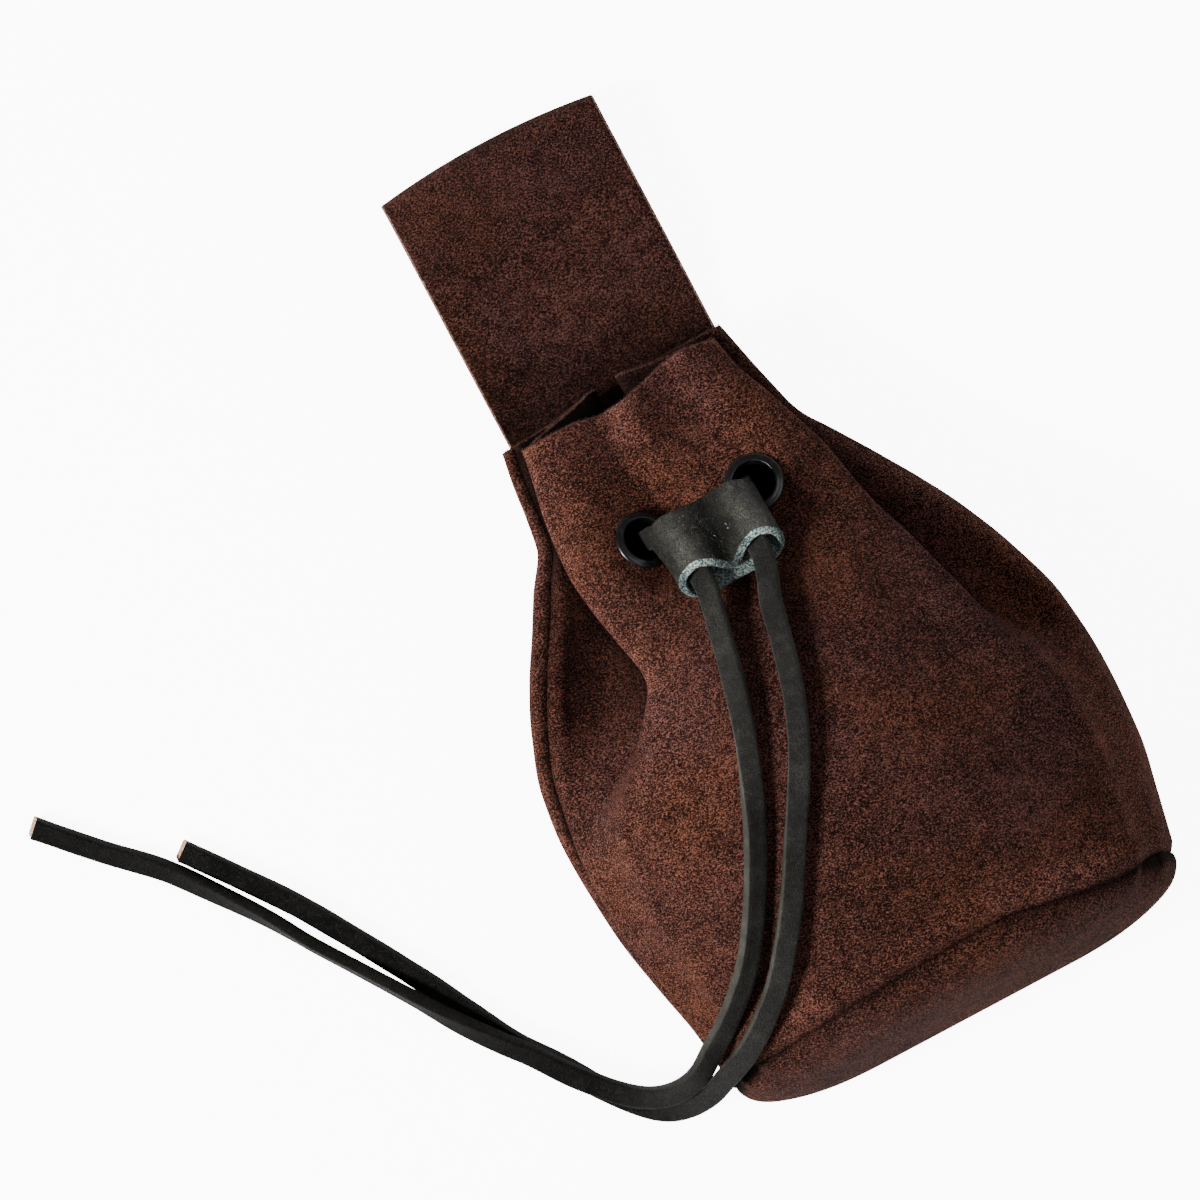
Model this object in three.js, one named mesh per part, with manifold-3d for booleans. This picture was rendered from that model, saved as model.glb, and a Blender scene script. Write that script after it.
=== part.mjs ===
// Medieval drawstring belt pouch in suede, lying on its back.
// Millimetres, +Z up. X runs across the pouch, +Y from the base to the mouth and the belt loop.
// The origin is on the underside of the back panel, in the middle of the pouch.
import * as THREE from "three";
import { mergeVertices } from "three/addons/utils/BufferGeometryUtils.js";
import Module from "manifold-3d";

// Leather and clearances
const LEATHER = 1.8;
const STRAP = 1.8;
const SEAM_GAP = 0.3;
const REST_GAP = 0.3;

// Body
const BODY_LENGTH = 154;
const BODY_HALF_WIDTH = 62;
const BODY_DEPTH = 52;
const RIM_Y = 88;
const RIM_SKEW = 0.045;
const BASE_OVERHANG = 13;
const BASE_BULGE = 9;

// Belt loop
const LOOP_WIDTH = 52.4;
const LOOP_RISE = 60;
const LOOP_TAIL = 39;
const LOOP_OPENING = 6;
const LOOP_CROWN = 1.9;

// Eyelets
const EYELET_OUTER_R = 6.75;
const EYELET_HOLE_R = 4.75;
const EYELET_WALL = 0.6;
const EYELET_FLANGE = 0.9;
const GUSSET_HOLE_R = 3.5;
const LACE_INSET = 1.1;

// Lace and slide
const LACE_WIDTH = 4.8;
const LACE_THICK = 2.8;
const SLIDE_WALL = 1.6;
const SLIDE_HALF_WIDTH = 12.9;
const SLIDE_HALF_DEPTH = 4.4;

// Outline of the body, one row for each section from the rim (0) to the base seam (1).
// along: share of BODY_LENGTH. left, right, underIn, overIn: shares of BODY_HALF_WIDTH.
// lift: share of the strap's two layers that the back lies over. side, underUp, overUp: shares of BODY_DEPTH.
const OUTLINE = rows(
  ["along", "left", "right", "lift", "side", "underIn", "underUp", "overIn", "overUp"],
  [
    [0, 0.448, 0.44, 1, 0.123, 0.019, 0, 0.019, 0.025],
    [0.052, 0.468, 0.471, 1, 0.123, 0.019, 0, 0.019, 0.025],
    [0.104, 0.479, 0.503, 1, 0.125, 0.021, 0, 0.021, 0.029],
    [0.156, 0.497, 0.539, 1, 0.133, 0.026, 0, 0.027, 0.037],
    [0.214, 0.589, 0.629, 1, 0.163, 0.042, 0.004, 0.042, 0.046],
    [0.266, 0.666, 0.719, 1, 0.198, 0.065, 0.012, 0.048, 0.058],
    [0.325, 0.755, 0.811, 0.35, 0.231, 0.097, 0.019, 0.048, 0.073],
    [0.39, 0.832, 0.9, 0, 0.26, 0.123, 0.027, 0.04, 0.092],
    [0.474, 0.897, 0.987, 0, 0.279, 0.139, 0.031, 0.026, 0.123],
    [0.571, 0.918, 1.055, 0, 0.288, 0.145, 0.035, 0.015, 0.146],
    [0.688, 0.902, 1.081, 0, 0.288, 0.145, 0.035, 0.013, 0.154],
    [0.805, 0.855, 1.068, 0, 0.288, 0.145, 0.035, 0.013, 0.154],
    [0.896, 0.813, 1.032, 0, 0.281, 0.145, 0.035, 0.013, 0.154],
    [1, 0.784, 0.984, 0, 0.273, 0.145, 0.035, 0.015, 0.154],
  ],
);

// Pleats of the gussets. foldL, foldR: 1 where gusset and front turn back on themselves, 0 where the side is
// round. The tips are the gusset's inner folds, the ridges its outer folds against the front, and dip is the
// height of the hollow between the side and the tip. X: shares of BODY_HALF_WIDTH. Z: shares of BODY_DEPTH.
const GUSSET = rows(
  [
    "along", "foldL", "tipLX", "tipLZ", "dipL", "ridgeLX", "ridgeLZ",
    "foldR", "tipRX", "tipRZ", "dipR", "ridgeRX", "ridgeRZ",
  ],
  [
    [0, 1, -0.073, 0.242, 0.173, -0.384, 0.375, 1, 0.037, 0.242, 0.173, 0.39, 0.375],
    [0.052, 1, -0.074, 0.24, 0.173, -0.403, 0.373, 1, 0.045, 0.24, 0.173, 0.416, 0.373],
    [0.104, 1, -0.079, 0.244, 0.175, -0.424, 0.383, 1, 0.058, 0.244, 0.177, 0.465, 0.383],
    [0.156, 1, -0.087, 0.252, 0.181, -0.439, 0.402, 1, 0.081, 0.254, 0.188, 0.511, 0.396],
    [0.214, 1, -0.105, 0.265, 0.183, -0.447, 0.431, 1, 0.129, 0.273, 0.205, 0.561, 0.421],
    [0.266, 1, -0.153, 0.27, 0.168, -0.434, 0.488, 1, 0.21, 0.302, 0.21, 0.587, 0.469],
    [0.325, 0.95, -0.25, 0.3, 0.18, -0.406, 0.577, 0.95, 0.387, 0.342, 0.24, 0.62, 0.538],
    [0.39, 0.75, -0.305, 0.355, 0.225, -0.375, 0.677, 0.85, 0.47, 0.39, 0.3, 0.675, 0.615],
    [0.474, 0.35, -0.5, 0.465, 0.41, -0.49, 0.746, 0.7, 0.645, 0.46, 0.375, 0.735, 0.692],
    [0.571, 0, -0.8, 0.596, 0.51, -0.665, 0.781, 0.45, 0.845, 0.52, 0.435, 0.8, 0.735],
    [0.63, 0, -0.825, 0.592, 0.517, -0.69, 0.772, 0.15, 0.94, 0.566, 0.485, 0.85, 0.75],
    [0.688, 0, -0.832, 0.588, 0.515, -0.7, 0.762, 0, 0.987, 0.592, 0.515, 0.868, 0.758],
    [0.805, 0, -0.787, 0.581, 0.512, -0.674, 0.746, 0, 0.977, 0.592, 0.515, 0.865, 0.754],
    [0.896, 0, -0.752, 0.569, 0.504, -0.648, 0.723, 0, 0.945, 0.581, 0.508, 0.839, 0.735],
    [1, 0, -0.726, 0.55, 0.492, -0.632, 0.692, 0, 0.903, 0.562, 0.492, 0.81, 0.704],
  ],
);

// Height of the front between its ridges, at seven places from left to right: the ruffles of the neck and
// the crown of the full body, as shares of BODY_DEPTH.
const FRONT = rows(
  ["along", "f1", "f2", "f3", "f4", "f5", "f6", "f7"],
  [
    [0, 0.428, 0.41, 0.394, 0.456, 0.432, 0.42, 0.446],
    [0.052, 0.434, 0.412, 0.39, 0.454, 0.431, 0.418, 0.448],
    [0.104, 0.458, 0.428, 0.396, 0.442, 0.432, 0.424, 0.452],
    [0.156, 0.496, 0.462, 0.41, 0.427, 0.448, 0.45, 0.462],
    [0.214, 0.525, 0.483, 0.421, 0.435, 0.477, 0.496, 0.485],
    [0.266, 0.562, 0.531, 0.488, 0.504, 0.538, 0.55, 0.535],
    [0.325, 0.646, 0.638, 0.619, 0.627, 0.646, 0.646, 0.615],
    [0.39, 0.75, 0.773, 0.777, 0.781, 0.785, 0.762, 0.704],
    [0.474, 0.837, 0.888, 0.908, 0.915, 0.908, 0.877, 0.8],
    [0.571, 0.881, 0.95, 0.981, 0.992, 0.981, 0.938, 0.854],
    [0.688, 0.892, 0.965, 1, 1.012, 1, 0.962, 0.881],
    [0.805, 0.877, 0.95, 0.985, 0.996, 0.988, 0.954, 0.881],
    [0.896, 0.846, 0.915, 0.946, 0.954, 0.95, 0.923, 0.858],
    [1, 0.808, 0.865, 0.892, 0.9, 0.896, 0.869, 0.812],
  ],
);

// How far the cut edge of the mouth is set back at each fold, as a share of RIM_DROP.
const RIM_DROP = 4.2;
const RIM = { back: 0, side: 0.1, dip: 0.15, tip: -0.1, ridge: 0.62, front: [0.55, 0.65, 1, 0.95, 0.7, 0.35, 0.2] };

// The eyelets: place and axis. x: share of BODY_HALF_WIDTH. along: share of BODY_LENGTH. z: share of BODY_DEPTH.
// lean: tilt towards the mouth. turn: tilt towards +X. Degrees.
const EYELETS = rows(
  ["name", "x", "along", "z", "lean", "turn"],
  [
    ["eyelet_left", -0.167, 0.2175, 0.468, 10, 26],
    ["eyelet_right", 0.284, 0.2195, 0.497, 13, -2],
  ],
);

// Section of the slide as a closed loop: shares of its half width and half depth at mid wall.
const SLIDE_SECTION = rows(
  ["x", "z"],
  [
    [1, 0],
    [0.88, 0.72],
    [0.62, 1],
    [0.34, 0.66],
    [0, -0.12],
    [-0.34, 0.66],
    [-0.62, 1],
    [-0.88, 0.72],
    [-1, 0],
    [-0.88, -0.74],
    [-0.6, -1],
    [-0.28, -0.96],
    [0, -0.94],
    [0.28, -0.96],
    [0.6, -1],
    [0.88, -0.74],
  ],
);

// The slide's sections from its mouth end to its base end.
// x: share of BODY_HALF_WIDTH. along: share of BODY_LENGTH. z: share of BODY_DEPTH. wide, deep: shares of the
// slide's half width and half depth. cut: set-back of its underside towards the base, share of SLIDE_CUT.
// dip: how far the middle of the upper side falls between the two lobes, share of its fall in the section.
const SLIDE = rows(
  ["x", "along", "z", "wide", "deep", "cut", "dip"],
  [
    [0.0645, 0.21, 0.61, 1.05, 0.92, 1, 0.35],
    [0.0707, 0.238, 0.651, 1.02, 0.96, 0.86, 0.6],
    [0.077, 0.268, 0.693, 1, 1, 0.76, 0.85],
    [0.0791, 0.295, 0.731, 1, 1, 0.86, 1],
  ],
);
// Place of the two lobes' crests across the section.
const LOBE = 0.62;
const SLIDE_SLOPE = 26;
const SLIDE_CUT = 5;

// Routes of the lace. x: share of BODY_HALF_WIDTH. along: share of BODY_LENGTH from the rim. z: share of
// BODY_DEPTH. side: direction of its width in plan, in degrees from +X, where it doesn't lie flat.
const NECK_ROUTE = rows(
  ["x", "along", "z", "side"],
  [
    [-0.0403, 0.2909, 0.725, 0],
    [-0.0435, 0.2662, 0.6885, 0],
    [-0.0484, 0.2455, 0.6635, 4],
    [-0.0694, 0.2299, 0.6346, 24],
    [-0.1113, 0.2195, 0.575, 66],
    [-0.1403, 0.2182, 0.4904, 90],
    [-0.1548, 0.2182, 0.3942, 90],
    [-0.1548, 0.2182, 0.2788, 90],
    [-0.1387, 0.2182, 0.1942, 90],
    [-0.0806, 0.2182, 0.1519, 90],
    [0, 0.2182, 0.149, 90],
    [0.0806, 0.2182, 0.149, 90],
    [0.1774, 0.2182, 0.1519, 90],
    [0.2387, 0.2195, 0.1808, 90],
    [0.2597, 0.2182, 0.2596, 90],
    [0.2613, 0.2195, 0.3654, 90],
    [0.2597, 0.2208, 0.4808, 90],
    [0.2419, 0.2208, 0.5615, 70],
    [0.2145, 0.2305, 0.6231, 24],
    [0.1968, 0.2455, 0.6596, 4],
    [0.1935, 0.2662, 0.6865, 0],
    [0.1919, 0.2909, 0.7269, 0],
  ],
);
const LEFT_ROUTE = rows(
  ["x", "along", "z"],
  [
    [-0.0419, 0.2935, 0.7288],
    [-0.0452, 0.3214, 0.7692],
    [-0.0565, 0.3474, 0.8058],
    [-0.0742, 0.3799, 0.8519],
    [-0.1032, 0.4331, 0.9288],
    [-0.1387, 0.4877, 0.9865],
    [-0.1742, 0.5331, 1.0173],
    [-0.2484, 0.6104, 1.0346],
    [-0.3274, 0.6799, 1.0231],
    [-0.4065, 0.7377, 0.9923],
    [-0.479, 0.7844, 0.95],
    [-0.5581, 0.8273, 0.8923],
    [-0.6355, 0.8584, 0.8269],
    [-0.7194, 0.887, 0.7269],
    [-0.7968, 0.9084, 0.6192],
    [-0.8806, 0.9325, 0.5308],
    [-0.9677, 0.9416, 0.4192],
    [-1.0548, 0.937, 0.2885],
    [-1.1403, 0.9182, 0.1615],
    [-1.2258, 0.8851, 0.1058],
    [-1.3081, 0.8455, 0.0962],
    [-1.3903, 0.7994, 0.0962],
    [-1.4613, 0.7649, 0.0962],
    [-1.5677, 0.7078, 0.0962],
    [-1.6758, 0.6416, 0.0923],
    [-1.7871, 0.5753, 0.0615],
    [-1.8952, 0.511, 0.0346],
    [-1.9984, 0.4448, 0.0327],
    [-2.1177, 0.3786, 0.0327],
    [-2.2452, 0.3123, 0.0327],
    [-2.4097, 0.2468, 0.0327],
    [-2.6016, 0.1643, 0.0327],
  ],
);
const RIGHT_ROUTE = rows(
  ["x", "along", "z"],
  [
    [0.1903, 0.2935, 0.7308],
    [0.1839, 0.3214, 0.7731],
    [0.1645, 0.3474, 0.8077],
    [0.1339, 0.3799, 0.8577],
    [0.1032, 0.4331, 0.9423],
    [0.0806, 0.4688, 0.9865],
    [0.0548, 0.5052, 1.0192],
    [0.0226, 0.5403, 1.0423],
    [-0.0226, 0.5812, 1.0558],
    [-0.0935, 0.6325, 1.0596],
    [-0.1742, 0.6851, 1.0519],
    [-0.2484, 0.7351, 1.0346],
    [-0.3274, 0.7851, 1.0058],
    [-0.4048, 0.8273, 0.9654],
    [-0.4806, 0.8643, 0.9077],
    [-0.5581, 0.8942, 0.8442],
    [-0.6355, 0.9188, 0.7885],
    [-0.7161, 0.939, 0.6962],
    [-0.7984, 0.9539, 0.5846],
    [-0.8823, 0.9675, 0.4308],
    [-0.9694, 0.9701, 0.2731],
    [-1.0565, 0.9604, 0.1538],
    [-1.1419, 0.9312, 0.0615],
    [-1.2258, 0.8883, 0.0346],
    [-1.3081, 0.8357, 0.0327],
    [-1.4161, 0.776, 0.0327],
    [-1.5048, 0.7097, 0.0327],
    [-1.5919, 0.6435, 0.0327],
    [-1.6855, 0.5773, 0.0327],
    [-1.7839, 0.511, 0.0327],
    [-1.8887, 0.4442, 0.0327],
    [-2.0129, 0.376, 0.0327],
    [-2.1661, 0.2948, 0.0327],
  ],
);

// A table with named columns becomes a list of objects.
function rows(names, table) {
  return table.map((row) => Object.fromEntries(names.map((name, i) => [name, row[i]])));
}

// Smooth value of a table's column at any place along it, without overshoot between its rows.
function at(table, name, along) {
  const last = table.length - 1;
  const slope = (i) => (table[i + 1][name] - table[i][name]) / (table[i + 1].along - table[i].along);
  const tangent = (i) => {
    if (i === 0) return slope(0);
    if (i === last) return slope(last - 1);
    const before = slope(i - 1);
    const after = slope(i);
    return before * after > 0 ? (2 * before * after) / (before + after) : 0;
  };
  let i = 0;
  while (i < last - 1 && along > table[i + 1].along) i += 1;
  const span = table[i + 1].along - table[i].along;
  const t = Math.min(Math.max((along - table[i].along) / span, 0), 1);
  const rise = table[i + 1][name] - table[i][name];
  const a = tangent(i) * span;
  const b = tangent(i + 1) * span;
  return table[i][name] + t * (a + t * (3 * rise - 2 * a - b + t * (a + b - 2 * rise)));
}

const ease = (t) => {
  const u = Math.min(Math.max(t, 0), 1);
  return u * u * (3 - 2 * u);
};

// Half the distance between the two leaves of a hairpin fold, and how far they start behind its tip.
const HAIRPIN = 0.85 * LEATHER;
const HAIRPIN_BACK = 0.7 * LEATHER;
// Half length of the soft corner that replaces a hairpin lower down.
const CORNER = BODY_DEPTH / 17;
// Place of the hollow's lowest point between the side and the gusset's tip.
const HOLLOW_SHARE = 0.56;

// The three knots of a fold that points along side (-1 or 1): upper, tip and lower.
function foldKnots(x, z, side, fold, slantX, slantZ) {
  const dx = (s) => (1 - fold) * s * slantX * CORNER - fold * side * HAIRPIN_BACK;
  const dz = (s) => (1 - fold) * s * slantZ * CORNER + fold * s * HAIRPIN;
  return [
    [x + dx(1), z + dz(1)],
    [x, z],
    [x + dx(-1), z + dz(-1)],
  ];
}

// Height of the back's mid wall: over the strap's two layers at the neck, on the surface below them.
function backHeight(along) {
  return LEATHER / 2 + at(OUTLINE, "lift", along) * (2 * STRAP + SEAM_GAP + REST_GAP);
}

// Knots of the body's section at mid wall, from the middle of the back round by the right side.
function sectionKnots(along) {
  const o = (name) => at(OUTLINE, name, along);
  const g = (name) => at(GUSSET, name, along);
  const W = BODY_HALF_WIDTH;
  const D = BODY_DEPTH;
  const left = -o("left") * W;
  const right = o("right") * W;
  const back = backHeight(along);
  const side = o("side") * D;
  const under = [o("underIn") * W, o("underUp") * D];
  const over = [o("overIn") * W, o("overUp") * D];
  const tipR = foldKnots(g("tipRX") * W, g("tipRZ") * D, -1, g("foldR"), -0.6, 0.8);
  const tipL = foldKnots(g("tipLX") * W, g("tipLZ") * D, 1, g("foldL"), 0.6, 0.8);
  const ridgeR = foldKnots(g("ridgeRX") * W, g("ridgeRZ") * D, 1, g("foldR"), -0.85, 0.5);
  const ridgeL = foldKnots(g("ridgeLX") * W, g("ridgeLZ") * D, -1, g("foldL"), 0.85, 0.5);
  const hollow = (overX, tipX) => overX + (tipX - overX) * HOLLOW_SHARE;
  const front = ["f7", "f6", "f5", "f4", "f3", "f2", "f1"].map((name, i) => {
    const share = (i + 1) / 8;
    const x = ridgeR[0][0] + (ridgeL[0][0] - ridgeR[0][0]) * share;
    return [x, at(FRONT, name, along) * D];
  });
  return [
    [(left + right) / 2, back],
    [0.3 * left + 0.7 * right, back],
    [right - under[0], back + under[1]],
    [right, side],
    [right - over[0], side + over[1]],
    [hollow(right - over[0], tipR[2][0]), g("dipR") * D],
    ...tipR.reverse(),
    ...ridgeR.reverse(),
    ...front,
    ...ridgeL,
    ...tipL,
    [hollow(left + over[0], tipL[2][0]), g("dipL") * D],
    [left + over[0], side + over[1]],
    [left, side],
    [left + under[0], back + under[1]],
    [0.7 * left + 0.3 * right, back],
  ];
}
const KNOTS = 30;
const SEAM_RIGHT = 2;
const RIDGE_RIGHT = 10;
const RIDGE_LEFT = 20;
const SEAM_LEFT = 26;

// Set-back of the cut rim at each knot.
const RIM_AT_KNOT = [
  ...[0, 0].map(() => RIM.back),
  ...[0, 0, 0].map(() => RIM.side),
  RIM.dip,
  ...[0, 0, 0].map(() => RIM.tip),
  ...[0, 0, 0].map(() => RIM.ridge),
  ...[...RIM.front].reverse(),
  ...[0, 0, 0].map(() => RIM.ridge),
  ...[0, 0, 0].map(() => RIM.tip),
  RIM.dip,
  ...[0, 0, 0].map(() => RIM.side),
  RIM.back,
];

const EYELET_FLAT_R = EYELET_OUTER_R + LEATHER / 2;
const EYELET_BLEND_R = 2 * EYELET_FLAT_R;
const eyeletFrames = EYELETS.map((e) => {
  const centre = new THREE.Vector3(e.x * BODY_HALF_WIDTH, RIM_Y - e.along * BODY_LENGTH, e.z * BODY_DEPTH);
  const turn = new THREE.Euler(THREE.MathUtils.degToRad(-e.lean), THREE.MathUtils.degToRad(e.turn), 0, "YXZ");
  return { name: e.name, centre, turn, axis: new THREE.Vector3(0, 0, 1).applyEuler(turn) };
});

// The front is flat round each eyelet.
function flattenAtEyelets(p) {
  for (const { centre, axis } of eyeletFrames) {
    const from = p.clone().sub(centre);
    const height = from.dot(axis);
    const radius = Math.sqrt(Math.max(from.lengthSq() - height * height, 0));
    const weight = 1 - ease((radius - EYELET_FLAT_R) / (EYELET_BLEND_R - EYELET_FLAT_R));
    p.addScaledVector(axis, -height * weight);
  }
  return p;
}

// A point of the body's mid surface. knot: place round the section. along: place from rim to base seam.
function bodyPoint(curve, knot, along) {
  const p = curve.getPoint((((knot % KNOTS) + KNOTS) % KNOTS) / KNOTS);
  const k = Math.floor(knot);
  const rimHere = RIM_AT_KNOT[k % KNOTS] + (RIM_AT_KNOT[(k + 1) % KNOTS] - RIM_AT_KNOT[k % KNOTS]) * (knot - k);
  const nearRim = 1 - ease(along / 0.16);
  const nearBase = ease((along - 0.72) / 0.28);
  const z = Math.max(p.z, backHeight(along));
  const y =
    RIM_Y -
    along * BODY_LENGTH -
    nearRim * (RIM_DROP * rimHere - RIM_SKEW * p.x) +
    (nearBase * BASE_OVERHANG * z) / BODY_DEPTH;
  const point = new THREE.Vector3(p.x, y, z);
  const onFront = knot >= RIDGE_RIGHT + 1 && knot <= RIDGE_LEFT - 1;
  return onFront ? flattenAtEyelets(point) : point;
}

const curveAt = (along) =>
  new THREE.CatmullRomCurve3(
    sectionKnots(along).map(([x, z]) => new THREE.Vector3(x, 0, z)),
    true,
    "centripetal",
  );

// Places round the section from one seam to the next, two for each stretch and one for each tight fold.
function knotList(from, to) {
  const tight = new Set([6, 7, 9, 10, 19, 20, 22, 23]);
  const list = [];
  for (let k = from; k < to; k += 1) {
    list.push(k);
    if (!tight.has(k % KNOTS)) list.push(k + 0.5);
  }
  list.push(to);
  return list;
}

const ALONG = [
  0, 0.026, 0.052, 0.078, 0.104, 0.13, 0.156, 0.185, 0.214, 0.24, 0.266, 0.295, 0.325, 0.357, 0.39, 0.43, 0.474, 0.52,
  0.571, 0.63, 0.688, 0.746, 0.805, 0.85, 0.896, 0.95, 1,
];

// Mid surface of a panel between two seams, with its normals. Its long edges stop half a seam gap short, and
// they take the seam's own normal, so that the two panels' edges lie face to face.
const STEP = 0.1;
function panelGrid(from, to) {
  const knots = knotList(from, to);
  const points = [];
  const across = [];
  for (const along of ALONG) {
    const curve = curveAt(along);
    const at = (k) => bodyPoint(curve, k, along);
    const half = (k, step) => (SEAM_GAP / 2 / at(k + step).distanceTo(at(k))) * step;
    points.push(knots.map((k) => at(k === from ? k + half(k, STEP) : k === to ? k + half(k, -STEP) : k)));
    across.push(knots.map((k) => at(k + STEP).sub(at(k - STEP))));
  }
  const last = ALONG.length - 1;
  const normals = points.map((row, i) =>
    row.map((_, j) =>
      points[Math.min(i + 1, last)][j]
        .clone()
        .sub(points[Math.max(i - 1, 0)][j])
        .cross(across[i][j])
        .normalize(),
    ),
  );
  return { points, normals };
}

// Normals of a grid of points, from its neighbours along rows and columns.
function gridNormals(grid, closed) {
  const n = grid[0].length;
  return grid.map((row, i) =>
    row.map((_, j) => {
      const up = grid[Math.max(i - 1, 0)][j];
      const down = grid[Math.min(i + 1, grid.length - 1)][j];
      const before = closed ? row[(j + n - 1) % n] : row[Math.max(j - 1, 0)];
      const after = closed ? row[(j + 1) % n] : row[Math.min(j + 1, n - 1)];
      return down.clone().sub(up).cross(after.clone().sub(before)).normalize();
    }),
  );
}

// Closed solid from triangles over a list of points.
function solid(points, faces) {
  const geometry = new THREE.BufferGeometry();
  geometry.setAttribute("position", new THREE.Float32BufferAttribute(points.flatMap((p) => [p.x, p.y, p.z]), 3));
  geometry.setIndex(faces.flat());
  geometry.computeVertexNormals();
  return geometry;
}

// A wall of even thickness over a grid of mid-wall points. closed: the rows run right round.
// cap: one mid-wall point that closes the last row, or null.
function wall(grid, thickness, { closed = false, normals = gridNormals(grid, closed), cap = null, capNormal = null } = {}) {
  const n = grid[0].length;
  const m = grid.length;
  const points = [];
  for (const side of [1, -1])
    grid.forEach((row, i) =>
      row.forEach((p, j) => points.push(p.clone().addScaledVector(normals[i][j], (side * thickness) / 2))),
    );
  const id = (side, i, j) => side * m * n + i * n + (closed ? j % n : j);
  const faces = [];
  const quad = (a, b, c, d) => faces.push([a, b, c], [a, c, d]);
  const columns = closed ? n : n - 1;
  for (let i = 0; i < m - 1; i += 1)
    for (let j = 0; j < columns; j += 1) {
      quad(id(0, i, j), id(0, i + 1, j), id(0, i + 1, j + 1), id(0, i, j + 1));
      quad(id(1, i, j), id(1, i, j + 1), id(1, i + 1, j + 1), id(1, i + 1, j));
    }
  for (let j = 0; j < columns; j += 1) quad(id(0, 0, j), id(0, 0, j + 1), id(1, 0, j + 1), id(1, 0, j));
  if (cap) {
    const top = points.push(cap.clone().addScaledVector(capNormal, thickness / 2)) - 1;
    const bottom = points.push(cap.clone().addScaledVector(capNormal, -thickness / 2)) - 1;
    for (let j = 0; j < columns; j += 1) {
      faces.push([id(0, m - 1, j), top, id(0, m - 1, j + 1)]);
      faces.push([id(1, m - 1, j), id(1, m - 1, j + 1), bottom]);
    }
  } else {
    for (let j = 0; j < columns; j += 1)
      quad(id(0, m - 1, j + 1), id(0, m - 1, j), id(1, m - 1, j), id(1, m - 1, j + 1));
  }
  if (!closed)
    for (let i = 0; i < m - 1; i += 1) {
      quad(id(0, i + 1, 0), id(0, i, 0), id(1, i, 0), id(1, i + 1, 0));
      quad(id(0, i, n - 1), id(0, i + 1, n - 1), id(1, i + 1, n - 1), id(1, i, n - 1));
    }
  return solid(points, faces);
}

// Cutting with manifold-3d.
const wasm = await Module();
wasm.setup();
function toManifold(geometry) {
  const bare = geometry.clone();
  bare.deleteAttribute("normal");
  bare.deleteAttribute("uv");
  const merged = mergeVertices(bare, 1e-4);
  return new wasm.Manifold(
    new wasm.Mesh({
      numProp: 3,
      vertProperties: merged.attributes.position.array,
      triVerts: new Uint32Array(merged.index.array),
    }),
  );
}
function fromManifold(made) {
  const mesh = made.getMesh();
  const geometry = new THREE.BufferGeometry();
  geometry.setAttribute("position", new THREE.Float32BufferAttribute(mesh.vertProperties, 3));
  geometry.setIndex([...mesh.triVerts]);
  geometry.computeVertexNormals();
  return geometry;
}

// A round cutter of a radius and length, its axis along Z until it is turned and placed.
function cutter(radius, length, centre, turn) {
  const shape = new THREE.CylinderGeometry(radius, radius, length, 20);
  shape.rotateX(Math.PI / 2);
  shape.applyMatrix4(new THREE.Matrix4().compose(centre, new THREE.Quaternion().setFromEuler(turn), new THREE.Vector3(1, 1, 1)));
  return toManifold(shape);
}

const suede = new THREE.MeshStandardMaterial({ color: 0x4a2820, roughness: 0.95, metalness: 0 });
const suedeStrap = new THREE.MeshStandardMaterial({ color: 0x44271f, roughness: 0.95, metalness: 0 });
const blackLeather = new THREE.MeshStandardMaterial({ color: 0x2c2b29, roughness: 0.5, metalness: 0 });
const blackLace = new THREE.MeshStandardMaterial({ color: 0x2f2e2d, roughness: 0.7, metalness: 0 });
const blackMetal = new THREE.MeshStandardMaterial({ color: 0x141414, roughness: 0.35, metalness: 0.8 });

const pouch = new THREE.Group();
function addPiece(parent, name, geometry, material) {
  const mesh = new THREE.Mesh(geometry, material);
  mesh.name = name;
  parent.add(mesh);
  return mesh;
}

// Body: front with its gussets, back and base
const body = new THREE.Group();
pouch.add(body);

const eyeletBarrelR = EYELET_HOLE_R + EYELET_WALL;
const frontGrid = panelGrid(SEAM_RIGHT, SEAM_LEFT);
const backGrid = panelGrid(SEAM_LEFT, SEAM_RIGHT + KNOTS);
let front = toManifold(wall(frontGrid.points, LEATHER, { normals: frontGrid.normals }));
for (const { centre, turn } of eyeletFrames) {
  front = front.subtract(cutter(eyeletBarrelR + REST_GAP, 4 * LEATHER, centre, turn));
  const bottom = 2 * LEATHER + 2 * STRAP;
  const top = centre.z - 3 * LEATHER / 2;
  const inset = Math.sign(centre.x) * LACE_INSET;
  const middle = new THREE.Vector3(centre.x - inset, centre.y, (bottom + top) / 2);
  front = front.subtract(cutter(GUSSET_HOLE_R, top - bottom, middle, new THREE.Euler()));
}
addPiece(body, "front_panel", fromManifold(front), suede);
addPiece(body, "back_panel", wall(backGrid.points, LEATHER, { normals: backGrid.normals }), suede);

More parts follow.
